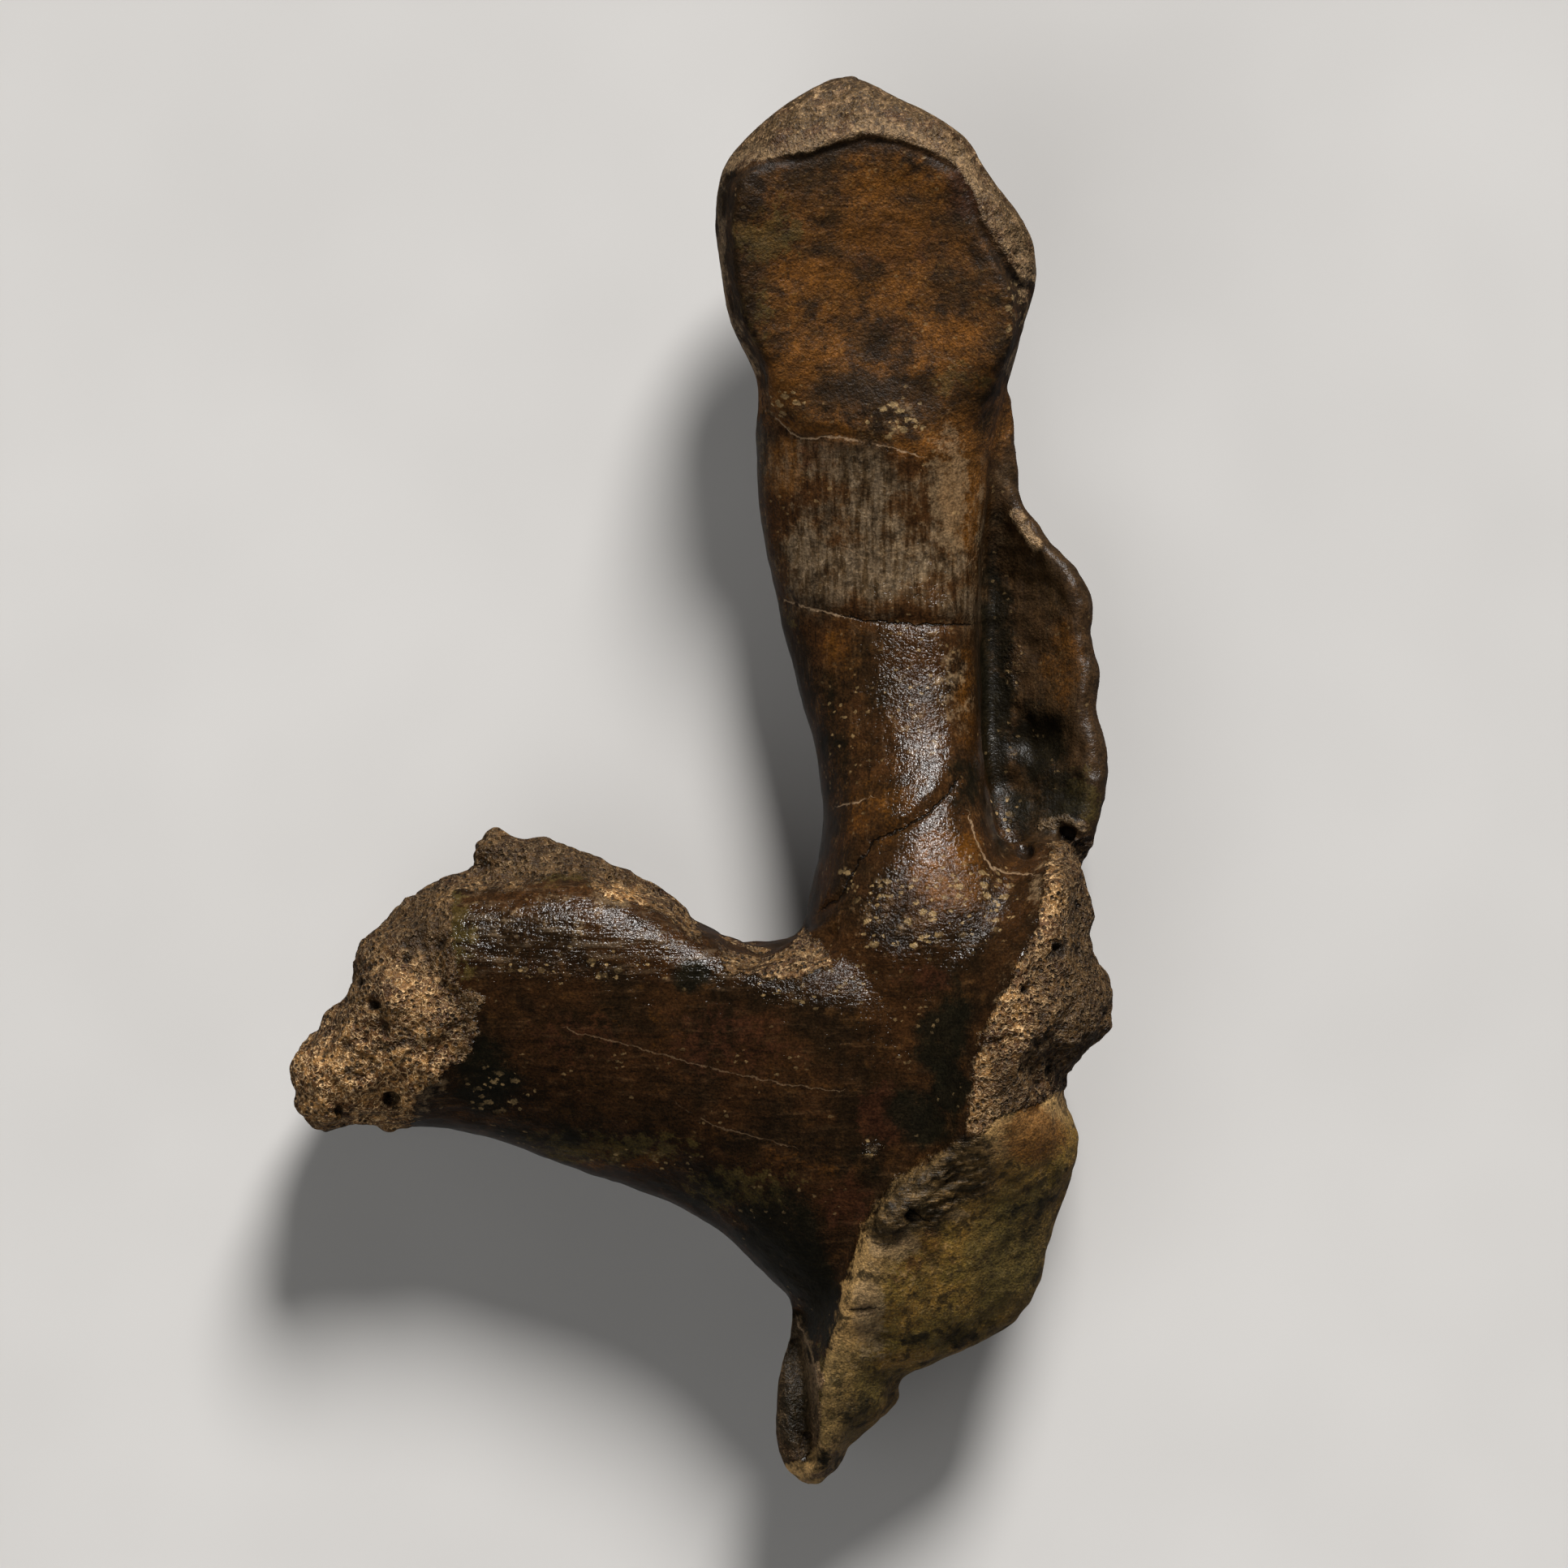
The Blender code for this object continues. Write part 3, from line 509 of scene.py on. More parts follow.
def store_fields(skin):
    """Everything that the stone's colours and gloss read."""
    points = skin.points
    skin.keep("spongy", skin.spongy())
    width = 0.55 + 0.45 * ripple(points, 3.0, 55)
    lips = np.max([width - from_path(points, path)[0] for path in PALE_LIPS], axis=0)
    lips = np.minimum(lips, TURN * (skin.normals[:, 2] - 0.05))
    skin.keep("rim", np.max([skin.within(RIM, -0.3), skin.within(TIP_FLANK, -0.3), lips], axis=0))
    # The distance from the rim's edge and the lips: the rim's colour follows it, and so does the face's
    # painted shade beside them
    skin.keep("under_rim", np.min([from_path(points, path)[0] for path in [RIM_EDGE] + PALE_LIPS], axis=0))
    skin.keep("face", skin.within(FACE, 0.0))
    skin.keep("lobe", skin.within(LOBE, -0.4))
    for name, outline in (
        ("splintered", SPLINTERED),
        ("scar", NECK_SCAR),
        ("sheen", ARM_SHEEN),
        ("wing", WING_SIDE),
    ):
        skin.keep(name, depth_inside(points, outline))
    for name, stains in (
        ("black", DARK_STAINS_AND_SHADE),
        ("red", RED_STAINS),
        ("ochre", OCHRE_STAINS),
        ("olive", OLIVE_STAINS),
        ("pale", PALE_STAINS_AND_LIGHT),
        ("fleck", FLECK_ZONES),
    ):
        skin.keep(name, spread(points, stains) * skin.up)
    for name, paths in (
        ("dark_line", DARK_CRACKS),
        ("pale_line", PALE_CRACKS),
        ("faint_line", FAINT_SCRATCHES),
    ):
        signed, near = line_fields(points, paths)
        skin.keep(name, signed)
        skin.keep(name + "_near", near * skin.up)


def make_bone(source):
    """The sculpted bone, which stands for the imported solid."""
    mesh = fine_mesh(source)
    skin = Skin(mesh)
    relief = relief_of(skin)
    lifted = ease((skin.points[:, 2] - RELIEF_FROM) / RELIEF_FADE)
    skin.points += skin.normals * (relief * lifted)[:, None]
    skin.points[:, 2] = np.maximum(skin.points[:, 2], 0)
    low, high = (np.array(corner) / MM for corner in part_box(NODE))
    skin.points = np.clip(skin.points, low, high)
    skin.write()
    skin.keep("relief", relief)
    mesh = thinned(mesh)
    skin = Skin(mesh)
    skin.points = np.clip(skin.points, low, high)
    skin.write()
    store_fields(skin)
    mesh.shade_smooth()
    bone = bpy.data.objects.new("fossil_bone", mesh)
    bpy.context.scene.collection.objects.link(bone)
    return bone


class Graph:
    """Small steps for building one material's node tree."""

    def __init__(self, material):
        material.use_nodes = True
        self.tree = material.node_tree
        self.shader = self.tree.nodes["Principled BSDF"]
        place = self.tree.nodes.new("ShaderNodeTexCoord").outputs["Object"]
        self.place = self.vector("SCALE", place, scale=1 / MM)

    def put(self, socket, value):
        """Links a socket to another node's value, or sets it to a plain value."""
        if isinstance(value, bpy.types.NodeSocket):
            self.tree.links.new(value, socket)
        else:
            socket.default_value = value

    def vector(self, operation, a, b=None, scale=None):
        """One operation on places or colours."""
        step = self.tree.nodes.new("ShaderNodeVectorMath")
        step.operation = operation
        self.put(step.inputs[0], a)
        if b is not None:
            self.put(step.inputs[1], b)
        if scale is not None:
            self.put(step.inputs["Scale"], scale)
        return step.outputs[0]

    def math(self, operation, a, b=0.0):
        """One operation on numbers."""
        step = self.tree.nodes.new("ShaderNodeMath")
        step.operation = operation
        self.put(step.inputs[0], a)
        self.put(step.inputs[1], b)
        return step.outputs[0]

    def field(self, name):
        """What the mesh stores under this name."""
        step = self.tree.nodes.new("ShaderNodeAttribute")
        step.attribute_name = name
        return step.outputs["Fac"]

    def fit(self, value, low, high, to_low=0.0, to_high=1.0):
        """The value's place between low and high, on a smooth step."""
        step = self.tree.nodes.new("ShaderNodeMapRange")
        step.interpolation_type = "SMOOTHSTEP"
        for name, number in (
            ("Value", value),
            ("From Min", low),
            ("From Max", high),
            ("To Min", to_low),
            ("To Max", to_high),
        ):
            self.put(step.inputs[name], number)
        return step.outputs["Result"]

    def stretched(self, stretch):
        """The place, multiplied along each axis where a stretch is given."""
        return self.place if stretch is None else self.vector("MULTIPLY", self.place, stretch)

    def noise(self, wavelength, detail=3.0, roughness=0.65, stretch=None):
        """Noise whose waves are this many millimetres long."""
        step = self.tree.nodes.new("ShaderNodeTexNoise")
        self.put(step.inputs["Vector"], self.stretched(stretch))
        for name, number in (("Scale", 1 / wavelength), ("Detail", detail), ("Roughness", roughness)):
            self.put(step.inputs[name], number)
        return step.outputs["Fac"]

    def cells(self, spacing, stretch=None):
        """How far the nearest of some cells, this far apart, has its middle, and that cell's own number."""
        step = self.tree.nodes.new("ShaderNodeTexVoronoi")
        self.put(step.inputs["Vector"], self.stretched(stretch))
        self.put(step.inputs["Scale"], 1 / spacing)
        return step.outputs["Distance"], step.outputs["Color"]

    def mix(self, amount, a, b):
        """Colour a, turned into colour b by amount."""
        step = self.tree.nodes.new("ShaderNodeMix")
        step.data_type = "RGBA"
        self.put(step.inputs["Factor"], amount)
        self.put(step.inputs[6], a)
        self.put(step.inputs[7], b)
        return step.outputs[2]

    def blend(self, amount, a, b):
        """Number a, turned into number b by amount."""
        step = self.tree.nodes.new("ShaderNodeMix")
        self.put(step.inputs["Factor"], amount)
        self.put(step.inputs[2], a)
        self.put(step.inputs[3], b)
        return step.outputs[0]

    def both(self, a, b):
        """One number times the other, as for a place where both hold."""
        return self.math("MULTIPLY", a, b)

    def shade(self, colour, factor):
        """The colour made darker or lighter by a factor."""
        return self.vector("SCALE", colour, scale=factor)

    def line(self, name, width, wobble):
        """1 along the lines stored under this name, which waver a little."""
        signed = self.math("ADD", self.field(name), wobble)
        thin = self.fit(self.math("ABSOLUTE", signed), width, 0.0)
        return self.both(thin, self.field(name + "_near"))


# Linear colours of the stone
CHOCOLATE = (0.036, 0.0148, 0.0044, 1)
UMBER = (0.0155, 0.0080, 0.0030, 1)
GREEN_BLACK = (0.0054, 0.0048, 0.0022, 1)
OXBLOOD = (0.031, 0.0100, 0.0045, 1)
RUST = (0.132, 0.0480, 0.0050, 1)
OLIVE = (0.052, 0.0380, 0.0100, 1)
SKIN_PATCH = (0.056, 0.0240, 0.0058, 1)
SKIN_FURROW = (0.007, 0.0040, 0.0020, 1)
FACE_BROWN = (0.092, 0.0350, 0.0048, 1)
FACE_DARK = (0.030, 0.0142, 0.0034, 1)
# Dark marks on the joint face: stains, and painted shade under the rim
FACE_STAIN_AND_SHADE = (0.0165, 0.0078, 0.0014, 1)
FACE_BLOTCH = (0.020, 0.0110, 0.0034, 1)
FACE_SPECK = (0.026, 0.0120, 0.0040, 1)
# Painted glints on the joint face
FACE_PAINTED_GLINT = (0.200, 0.1080, 0.0300, 1)
# Painted shade on the face just inside the rim
FACE_RIM_SHADE = (0.016, 0.0090, 0.0038, 1)
# The neck scar's grey, also painted as sheen on the arm's upper ridge
GREY_OF_SCAR_AND_SHEEN = (0.110, 0.0760, 0.0440, 1)
SCAR_DARK = (0.050, 0.0300, 0.0135, 1)
SCAR_BROWN = (0.085, 0.0420, 0.0130, 1)
SCAR_GRAIN = (0.210, 0.1550, 0.0980, 1)
SCAR_BLOTCH = (0.022, 0.0130, 0.0060, 1)
RIM_PALE = (0.205, 0.1300, 0.0640, 1)
RIM_TAN = (0.086, 0.0505, 0.0200, 1)
RIM_BROWN = (0.030, 0.0165, 0.0075, 1)
RIM_BLOTCH = (0.044, 0.0190, 0.0066, 1)
SPONGE_BROWN = (0.060, 0.0260, 0.0080, 1)
SPONGE_TAN = (0.130, 0.0655, 0.0195, 1)
SPONGE_PALE = (0.410, 0.2640, 0.1280, 1)
SPONGE_OLIVE = (0.060, 0.0330, 0.0110, 1)
PORE_DARK = (0.010, 0.0058, 0.0028, 1)
LOBE_TAN = (0.155, 0.0820, 0.0140, 1)
LOBE_OLIVE = (0.092, 0.0580, 0.0100, 1)
LOBE_PALE = (0.35, 0.2100, 0.0780, 1)
LOBE_GRAIN = (0.30, 0.1900, 0.0750, 1)
LOBE_SPECK = (0.050, 0.0310, 0.0070, 1)
LOBE_BLOTCH = (0.034, 0.0220, 0.0075, 1)
WING_BROWN = (0.042, 0.0240, 0.0100, 1)
FLAKE_DARK = (0.010, 0.0068, 0.0028, 1)
FLAKE_TAN = (0.090, 0.0510, 0.0160, 1)
FLECK = (0.240, 0.1580, 0.0680, 1)
FIBRE = (0.088, 0.0450, 0.0165, 1)
STAIN_PALE = (0.165, 0.1120, 0.0600, 1)
# Painted shade in places that the relief sinks
HOLLOW_SHADE = (0.008, 0.0050, 0.0030, 1)
CRACK_PALE = (0.30, 0.2000, 0.1150, 1)
SCRATCH_PALE = (0.22, 0.1400, 0.0750, 1)
CRACK_DARK = (0.004, 0.0030, 0.0020, 1)

# How rough the stone's surfaces are, and how strongly they reflect
ROUGH_SKIN = 0.10
ROUGH_FIBRES = 0.19
ROUGH_BLACK = 0.20
ROUGH_FLECKS = 0.24
ROUGH_WING = 0.44
ROUGH_INNER = 0.56
ROUGH_BROKEN = 0.48
SPECULAR = 0.26


class Bone(Graph):
    """The stone's shared noises, and how much each kind of surface covers each place."""

    def __init__(self, material):
        super().__init__(material)
        self.fine = self.noise(0.36, 1.5)
        self.grain = self.noise(0.66, 2.5, 0.72)
        self.medium = self.noise(1.7, 4.0)
        self.coarse = self.noise(3.4, 5.0, 0.68)
        self.cloud = self.noise(9.0, 5.0, 0.62)
        self.up_fibres = self.noise(0.85, 3.0, stretch=(1.0, 0.13, 0.5))
        self.side_fibres = self.noise(0.85, 3.0, stretch=(0.13, 1.0, 0.5))
        self.edge = self.both(self.swing(self.medium), 3.4)
        self.waver = self.both(self.swing(self.medium), 1.5)
        # How deep the relief sinks here, which places painted shade
        self.hollow = self.fit(self.field("relief"), -0.25, -0.8)
        self.struts = self.fit(self.math("ABSOLUTE", self.swing(self.noise(1.25, 1.0))), 0.042, 0.008)
        self.pore_gap, _ = self.cells(0.92)
        self.arm = self.fit(self.math("ADD", self.along(), self.both(self.edge, 3.0)), -14.0, -24.0)
        self.fibres = self.blend(self.arm, self.up_fibres, self.side_fibres)
        self.find_zones()

    def find_zones(self):
        """The kinds of surface, with ragged borders, and the dark cracks."""
        self.spongy = self.inside("spongy")
        self.rim = self.inside("rim", 0.25, 0.55)
        self.face = self.inside("face", 1.2, 0.8)
        self.lobe = self.inside("lobe", 0.35, 0.8)
        self.flakes = self.inside("splintered", 0.8)
        self.scar = self.inside("scar", 4.5, 2.0)
        self.sheen = self.inside("sheen", 2.5, 1.0)
        self.wing = self.inside("wing", 1.5)
        self.broken = self.math("MAXIMUM", self.spongy, self.rim)
        self.inner = self.math("MAXIMUM", self.face, self.lobe)
        self.dark_line = self.line("dark_line", 0.24, self.waver)

    def swing(self, noise_value):
        """How far a noise lies above its middle; negative below."""
        return self.math("SUBTRACT", noise_value, 0.5)

    def along(self):
        """How far along the bone each place is, in millimetres."""
        split = self.tree.nodes.new("ShaderNodeSeparateXYZ")
        self.put(split.inputs[0], self.place)
        return split.outputs["Y"]

    def inside(self, name, softness=0.35, ragged=1.0):
        """1 inside the outline of this name, with a border this soft and ragged."""
        depth = self.math("ADD", self.field(name), self.both(self.edge, ragged))
        return self.fit(depth, -softness, softness)

    def patchy_mark(self, name, reach, low=0.36, high=0.62):
        """A patchy mark with a ragged border, which spreads with the coarse noise or against it; the marks
        are stains, painted shade and painted light.
        """
        stain = self.field(name)
        patches = self.both(self.swing(self.coarse), reach)
        crumbs = self.both(self.math("SUBTRACT", self.math("ADD", self.grain, self.medium), 1.0), 0.8)
        patchy = self.math("ADD", stain, self.math("ADD", patches, crumbs))
        return self.both(self.fit(patchy, low, high), self.fit(stain, 0.0, 0.3))

    def dots(self, spacing, size, share, stretch=None):
        """Small ovals this far apart, in a share of the places."""
        distance, number = self.cells(spacing, stretch)
        wavy = self.math("ADD", distance, self.swing(self.grain))
        return self.both(self.fit(wavy, size, size * 0.75), self.math("LESS_THAN", number, share))

    def tint(self, colour, other, value, low, high, amount):
        """The colour, turned into the other one by amount where the value goes from low to high."""
        return self.mix(self.both(self.fit(value, low, high), amount), colour, other)


def cortex_colour(g):
    """The smooth dark skin of the bone, with fine pale fibres."""
    colour = g.mix(g.fit(g.cloud, 0.38, 0.62), UMBER, CHOCOLATE)
    colour = g.tint(colour, SKIN_PATCH, g.coarse, 0.54, 0.70, 0.5)
    colour = g.tint(colour, FIBRE, g.fibres, 0.55, 0.75, 0.5)
    return g.tint(colour, SKIN_FURROW, g.fibres, 0.46, 0.30, 0.6)


def face_colour(g):
    """The joint face: warm brown with orange clouds and dark mottling, painted glints, and painted shade
    inside its rim.
    """
    streaked = g.noise(2.6, 5.0, 0.7, stretch=(0.6, 1.0, 1.0))
    colour = g.mix(g.fit(g.blend(0.45, g.cloud, streaked), 0.38, 0.58), FACE_DARK, FACE_BROWN)
    colour = g.tint(colour, RUST, g.cloud, 0.50, 0.62, 0.6)
    colour = g.tint(colour, FACE_BLOTCH, g.coarse, 0.48, 0.34, 0.55)
    colour = g.tint(colour, FACE_SPECK, g.medium, 0.46, 0.32, 0.5)
    # Painted highlight: small pale glints on the grain noise
    colour = g.tint(colour, FACE_PAINTED_GLINT, g.grain, 0.56, 0.70, 0.35)
    # Painted shade: the face is darkened beside the rim's edge and the pale lips, which stand above it
    under_rim = g.math("ADD", g.field("under_rim"), g.both(g.edge, 1.6))
    return g.tint(colour, FACE_RIM_SHADE, under_rim, 4.0, 0.6, 0.75)


def rim_colour(g):
    """The worn bevel: palest along its inner lip, and dark towards the outline."""
    deep = g.math("ADD", g.field("under_rim"), g.both(g.edge, 1.8))
    colour = g.mix(g.fit(deep, 0.8, 3.6), RIM_PALE, RIM_TAN)
    colour = g.tint(colour, RIM_BROWN, deep, 5.0, 10.0, 0.6)
    colour = g.tint(colour, RIM_BROWN, g.grain, 0.52, 0.38, 0.7)
    colour = g.tint(colour, RIM_BLOTCH, g.coarse, 0.49, 0.60, 0.85)
    colour = g.tint(colour, RIM_PALE, g.medium, 0.52, 0.66, 0.6)
    colour = g.tint(colour, SPONGE_PALE, g.grain, 0.57, 0.70, 0.6)
    # The dark marks, which are stains and painted shade, darken the rim too
    return g.mix(g.both(g.field("black"), 0.85), colour, GREEN_BLACK)


def spongy_colour(g):
    """Spongy bone: pale struts, tan between them and dark pores, with painted light where the pale marks lie
    and painted shade in its deep hollows.
    """
    colour = g.mix(g.fit(g.coarse, 0.40, 0.60), SPONGE_BROWN, SPONGE_TAN)
    colour = g.tint(colour, SPONGE_PALE, g.grain, 0.53, 0.66, 0.7)
    colour = g.mix(g.both(g.struts, 0.75), colour, SPONGE_PALE)
    pores = g.both(g.fit(g.pore_gap, 0.46, 0.24), g.fit(g.medium, 0.40, 0.56))
    colour = g.mix(g.both(pores, 0.9), colour, PORE_DARK)
    colour = g.mix(g.both(g.field("olive"), 0.6), colour, SPONGE_OLIVE)
    # Partly paler bone, partly painted light: the pale marks brighten the spongy bone, most of all on the
    # broken arm end that turns from the key light
    colour = g.shade(colour, g.math("ADD", 0.66, g.both(g.field("pale"), 1.4)))
    # Painted shade: the spongy bone's deep hollows are darkened to the pores' colour
    return g.mix(g.both(g.hollow, 0.85), colour, PORE_DARK)


def lobe_colour(g):
    """The inner wall of the canal: smooth, tan and olive, palest by the dark skin."""
    colour = g.mix(g.fit(g.cloud, 0.40, 0.60), LOBE_OLIVE, LOBE_TAN)
    from_skin = g.math("ADD", g.field("lobe"), g.both(g.edge, 2.0))
    colour = g.tint(colour, LOBE_PALE, from_skin, 7.0, 2.0, 0.75)
    colour = g.tint(colour, LOBE_GRAIN, g.grain, 0.54, 0.70, 0.5)
    colour = g.tint(colour, LOBE_SPECK, g.medium, 0.50, 0.36, 0.6)
    return g.tint(colour, LOBE_BLOTCH, g.coarse, 0.49, 0.36, 0.7)


def scar_colour(g):
    """The grey, streaked scar across the neck of the column."""
    colour = g.mix(g.fit(g.up_fibres, 0.36, 0.64), SCAR_DARK, GREY_OF_SCAR_AND_SHEEN)
    colour = g.tint(colour, SCAR_BROWN, g.cloud, 0.46, 0.60, 0.65)
    colour = g.tint(colour, SCAR_GRAIN, g.grain, 0.55, 0.68, 0.5)
    return g.tint(colour, SCAR_BLOTCH, g.coarse, 0.47, 0.34, 0.6)


def with_stains_shade_and_light(g, colour):
    """The red, ochre and olive stains, the dark marks of stains and painted shade, and the pale marks of
    stains and painted light.
    """
    colour = g.mix(g.both(g.patchy_mark("red", 1.3, 0.30, 0.75), 0.55), colour, OXBLOOD)
    colour = g.mix(g.both(g.patchy_mark("ochre", -1.5, 0.30, 0.80), 0.6), colour, RUST)
    colour = g.mix(g.both(g.patchy_mark("olive", 1.5), 0.6), colour, OLIVE)
    # Dark stains and painted shade: the dark marks are brown on the face and green-black elsewhere
    black = g.mix(g.face, GREEN_BLACK, FACE_STAIN_AND_SHADE)
    colour = g.mix(g.both(g.patchy_mark("black", -2.2, 0.18, 0.84), 0.9), colour, black)
    return g.mix(g.both(g.patchy_mark("pale", 1.5, 0.45, 0.9), 0.55), colour, STAIN_PALE)


def with_flakes(g, colour):
    """The splintered ledges at the top of the lobe."""
    flake = g.mix(g.fit(g.side_fibres, 0.42, 0.66), FLAKE_DARK, FLAKE_TAN)
    return g.mix(g.both(g.flakes, 0.85), colour, flake)


def with_flecks(g, colour):
    """Pale oval flecks: large ones in their zones, and small ones in the clouds as well."""
    zone = g.field("fleck")
    large = g.both(g.dots(1.25, 0.43, 0.50, (0.75, 1.1, 0.7)), g.fit(zone, 0.3, 0.8))
    colour = g.mix(g.both(large, 0.8), colour, FLECK)
    often = g.math("MAXIMUM", g.fit(zone, 0.0, 0.5), g.both(g.fit(g.cloud, 0.52, 0.6), 0.45))
    small = g.both(g.dots(0.85, 0.28, 0.36, (0.7, 1.0, 0.8)), g.both(often, 0.85))
    return g.mix(small, colour, FLECK)


def with_cracks(g, colour):
    """The pale cracks, the faint scratches and the dark cracks."""
    gaps = g.fit(g.coarse, 0.36, 0.50)
    pale_line = g.both(g.line("pale_line", 0.20, g.waver), gaps)
    colour = g.mix(g.both(pale_line, 0.8), colour, CRACK_PALE)
    faint_line = g.both(g.line("faint_line", 0.15, g.waver), gaps)
    colour = g.mix(g.both(faint_line, 0.4), colour, SCRATCH_PALE)
    return g.mix(g.both(g.dark_line, 0.92), colour, CRACK_DARK)


def stone_colour(g):
    """The colour all over, from the skin to what is broken."""
    # Painted shade: the arm's skin is darkened to three quarters, standing in for less light on it
    colour = g.shade(cortex_colour(g), g.blend(g.arm, 1.0, 0.75))
    colour = g.mix(g.both(g.wing, 0.55), colour, WING_BROWN)
    streaky = g.math("ADD", g.cloud, g.both(g.swing(g.up_fibres), -0.4))
    colour = g.mix(g.both(g.scar, g.fit(streaky, 0.64, 0.44)), colour, scar_colour(g))
    # Painted highlight: grey streaks across the glossy ridge of the arm
    sheen_streaks = g.both(g.sheen, g.fit(g.side_fibres, 0.50, 0.66))
    colour = g.mix(g.both(sheen_streaks, 0.45), colour, GREY_OF_SCAR_AND_SHEEN)
    colour = g.mix(g.face, colour, face_colour(g))
    colour = g.mix(g.lobe, colour, lobe_colour(g))
    colour = with_flecks(g, with_flakes(g, with_stains_shade_and_light(g, colour)))
    colour = g.mix(g.rim, colour, rim_colour(g))
    colour = g.mix(g.spongy, colour, spongy_colour(g))
    # Painted shade: places that the relief sinks below the skin are darkened, outside the spongy bone
    sunk_shade = g.both(g.hollow, g.both(g.math("SUBTRACT", 1.0, g.spongy), 0.7))
    colour = g.mix(sunk_shade, colour, HOLLOW_SHADE)
    colour = g.shade(colour, g.fit(g.fine, 0.28, 0.74, 0.60, 1.45))
    colour = g.shade(colour, g.fit(g.medium, 0.34, 0.68, 0.74, 1.30))
    return with_cracks(g, colour)


def stone_roughness(g):
    """Glossy on the skin, and duller on the wing and on the inner and broken surfaces."""
    rough = g.blend(g.fit(g.fibres, 0.36, 0.66), ROUGH_SKIN, ROUGH_FIBRES)
    rough = g.blend(g.fit(g.field("black"), 0.2, 0.8), rough, ROUGH_BLACK)
    rough = g.blend(g.fit(g.field("fleck"), 0.3, 0.9), rough, ROUGH_FLECKS)
    rough = g.blend(g.both(g.fit(g.field("wing"), -2.0, 0.5), 0.9), rough, ROUGH_WING)
    rough = g.blend(g.math("MAXIMUM", g.inner, g.flakes), rough, ROUGH_INNER)
    return g.blend(g.broken, rough, ROUGH_BROKEN)


def stone_height(g):
    """The finest relief, in millimetres."""
    smooth = g.math("SUBTRACT", 1.0, g.math("MAXIMUM", g.broken, g.inner))
    height = g.both(g.fine, 0.06)
    for layer in (
        g.both(g.medium, 0.12),
        g.both(g.fibres, g.both(smooth, 0.12)),
        g.both(g.up_fibres, g.both(g.scar, 0.12)),
        g.both(g.grain, g.blend(g.broken, g.blend(g.inner, 0.16, 0.28), 0.60)),
        g.both(g.side_fibres, g.both(g.sheen, 0.16)),
        g.both(g.side_fibres, g.both(g.flakes, 0.60)),
        g.both(g.grain, g.both(g.both(g.field("fleck"), smooth), 0.40)),
        g.both(g.fit(g.pore_gap, 0.22, 0.46), g.both(g.spongy, 0.35)),
        g.both(g.struts, g.both(g.spongy, 0.30)),
        g.both(g.dark_line, -0.25),
    ):
        height = g.math("ADD", height, layer)
    return height


def bone_material():
    """Fossil bone: each part's own stone, with stains, painted shade and painted light, and cracks."""
    material = bpy.data.materials.new("fossil bone")
    g = Bone(material)
    g.put(g.shader.inputs["Base Color"], stone_colour(g))
    g.put(g.shader.inputs["Roughness"], stone_roughness(g))
    g.put(g.shader.inputs["Specular IOR Level"], SPECULAR)
    bump = g.tree.nodes.new("ShaderNodeBump")
    g.put(bump.inputs["Strength"], 1.0)
    g.put(bump.inputs["Distance"], MM)
    g.put(bump.inputs["Height"], stone_height(g))
    g.put(g.shader.inputs["Normal"], bump.outputs["Normal"])
    return material


def floor_material():
    """A plain pale surface."""
    material = bpy.data.materials.new("pale floor")
    g = Graph(material)
    shade = g.fit(g.noise(60.0, 2.0), 0.2, 0.8)
    g.put(g.shader.inputs["Base Color"], g.mix(shade, FLOOR_DARK, FLOOR_PALE))
    g.put(g.shader.inputs["Roughness"], FLOOR_ROUGHNESS)
    return material


def backdrop_material():
    """The floor's own brightness, without any shadows."""
    material = bpy.data.materials.new("pale backdrop")
    material.use_nodes = True
    shader = material.node_tree.nodes["Principled BSDF"]
    shader.inputs["Base Color"].default_value = (0, 0, 0, 1)
    shader.inputs["Specular IOR Level"].default_value = 0
    shader.inputs["Emission Color"].default_value = BACKDROP_PALE
    shader.inputs["Emission Strength"].default_value = 1
    return material


def make_stage_piece(name, corners, faces, material):
    """A plain mesh of the studio."""
    mesh = bpy.data.meshes.new(name)
    mesh.from_pydata(corners, [], faces)
    mesh.materials.append(material)
    piece = bpy.data.objects.new(name, mesh)
    bpy.context.scene.collection.objects.link(piece)
    return piece


def make_floor():
    """A pale floor that the dark gloss doesn't mirror, because the photograph's surroundings are dark."""
    signs = ((-1, -1), (1, -1), (1, 1), (-1, 1))
    corners = [(x * FLOOR_HALF_SIDE, y * FLOOR_HALF_SIDE, FLOOR_LEVEL) for x, y in signs]
    floor = make_stage_piece("floor", corners, [(0, 1, 2, 3)], floor_material())
    floor.visible_glossy = False
    return floor


def make_backdrop():
    """A pale wall far round the floor, which gives and takes no light."""
    turns = np.linspace(0, 2 * np.pi, BACKDROP_SIDES, endpoint=False)
    ring = np.stack([np.cos(turns), np.sin(turns)], axis=1) * FLOOR_HALF_SIDE * BACKDROP_SHARE
    corners = [(x, y, z) for z in (FLOOR_LEVEL, BACKDROP_HEIGHT) for x, y in ring]
    after = [(i + 1) % BACKDROP_SIDES for i in range(BACKDROP_SIDES)]
    faces = [(i, j, j + BACKDROP_SIDES, i + BACKDROP_SIDES) for i, j in enumerate(after)]
    wall = make_stage_piece("backdrop", corners, faces, backdrop_material())
    wall.visible_diffuse = False
    wall.visible_glossy = False
    wall.visible_shadow = False
    return wall


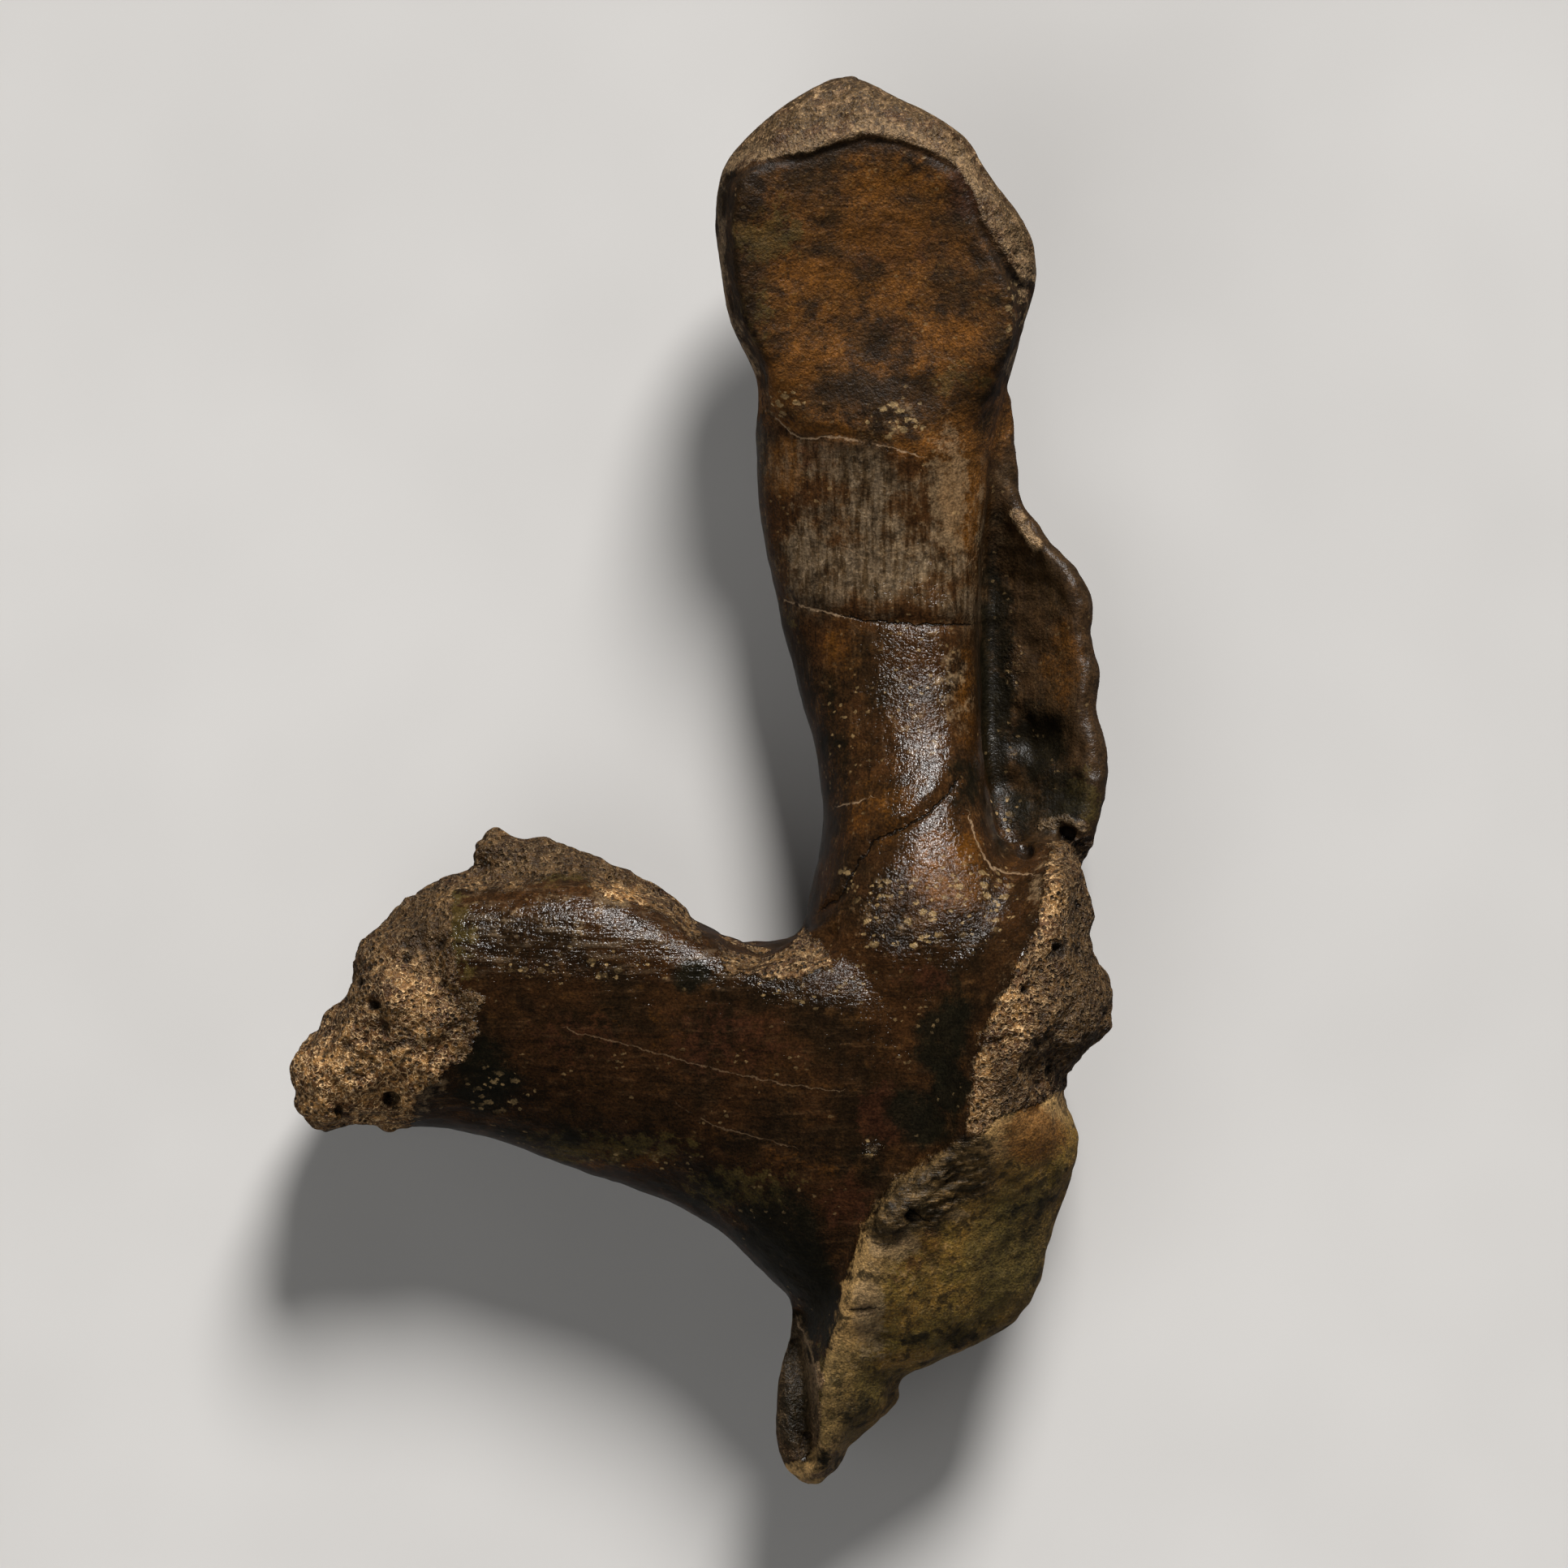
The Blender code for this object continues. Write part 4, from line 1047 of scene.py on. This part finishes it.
def make_light(name, place, strength, angle, colour=(1, 1, 1)):
    """A broad soft light that shines from this place's direction."""
    data = bpy.data.lights.new(name, "SUN")
    data.energy = strength
    data.angle = math.radians(angle)
    data.color = colour
    light = bpy.data.objects.new(name, data)
    light.location = place
    light.rotation_mode = "QUATERNION"
    light.rotation_quaternion = (-Vector(place)).to_track_quat("-Z", "Y")
    bpy.context.scene.collection.objects.link(light)
    return light


def make_studio():
    """Soft light that comes mostly from beyond the joint face, and a little from the other side."""
    make_light("key", (0.15, 0.60, 0.45), strength=5.4, angle=18, colour=(1.0, 0.98, 0.96))
    fill = make_light("fill", (-0.42, -0.28, 0.52), strength=0.90, angle=60)
    fill.visible_glossy = False
    world = bpy.data.worlds.new("studio")
    world.use_nodes = True
    sky = world.node_tree.nodes["Background"]
    sky.inputs["Color"].default_value = SKY_COLOUR
    sky.inputs["Strength"].default_value = SKY_STRENGTH
    bpy.context.scene.world = world
    bpy.context.scene.view_settings.view_transform = "Standard"


def make_camera():
    """Looks straight down, with the photograph's framing."""
    data = bpy.data.cameras.new("camera")
    data.lens = LENS
    distance = PIXEL * PHOTO_SIDE * LENS / data.sensor_width
    data.clip_end = CLIP_END
    camera = bpy.data.objects.new("camera", data)
    camera.location = (PHOTO_MIDDLE[0] * MM, PHOTO_MIDDLE[1] * MM, FOCUS_HEIGHT * MM + distance)
    bpy.context.scene.collection.objects.link(camera)
    bpy.context.scene.camera = camera


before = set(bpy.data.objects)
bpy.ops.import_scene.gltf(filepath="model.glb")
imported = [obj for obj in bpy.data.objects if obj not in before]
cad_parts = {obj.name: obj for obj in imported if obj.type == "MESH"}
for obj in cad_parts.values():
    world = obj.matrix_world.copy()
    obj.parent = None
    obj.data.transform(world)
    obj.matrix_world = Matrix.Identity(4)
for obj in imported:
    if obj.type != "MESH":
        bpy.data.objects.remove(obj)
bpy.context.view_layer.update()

make_camera()
make_studio()
make_floor()
make_backdrop()

bone = make_bone(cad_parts[NODE])
bone.data.materials.clear()
bone.data.materials.append(bone_material())
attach(bone, "root")
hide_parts(NODE)
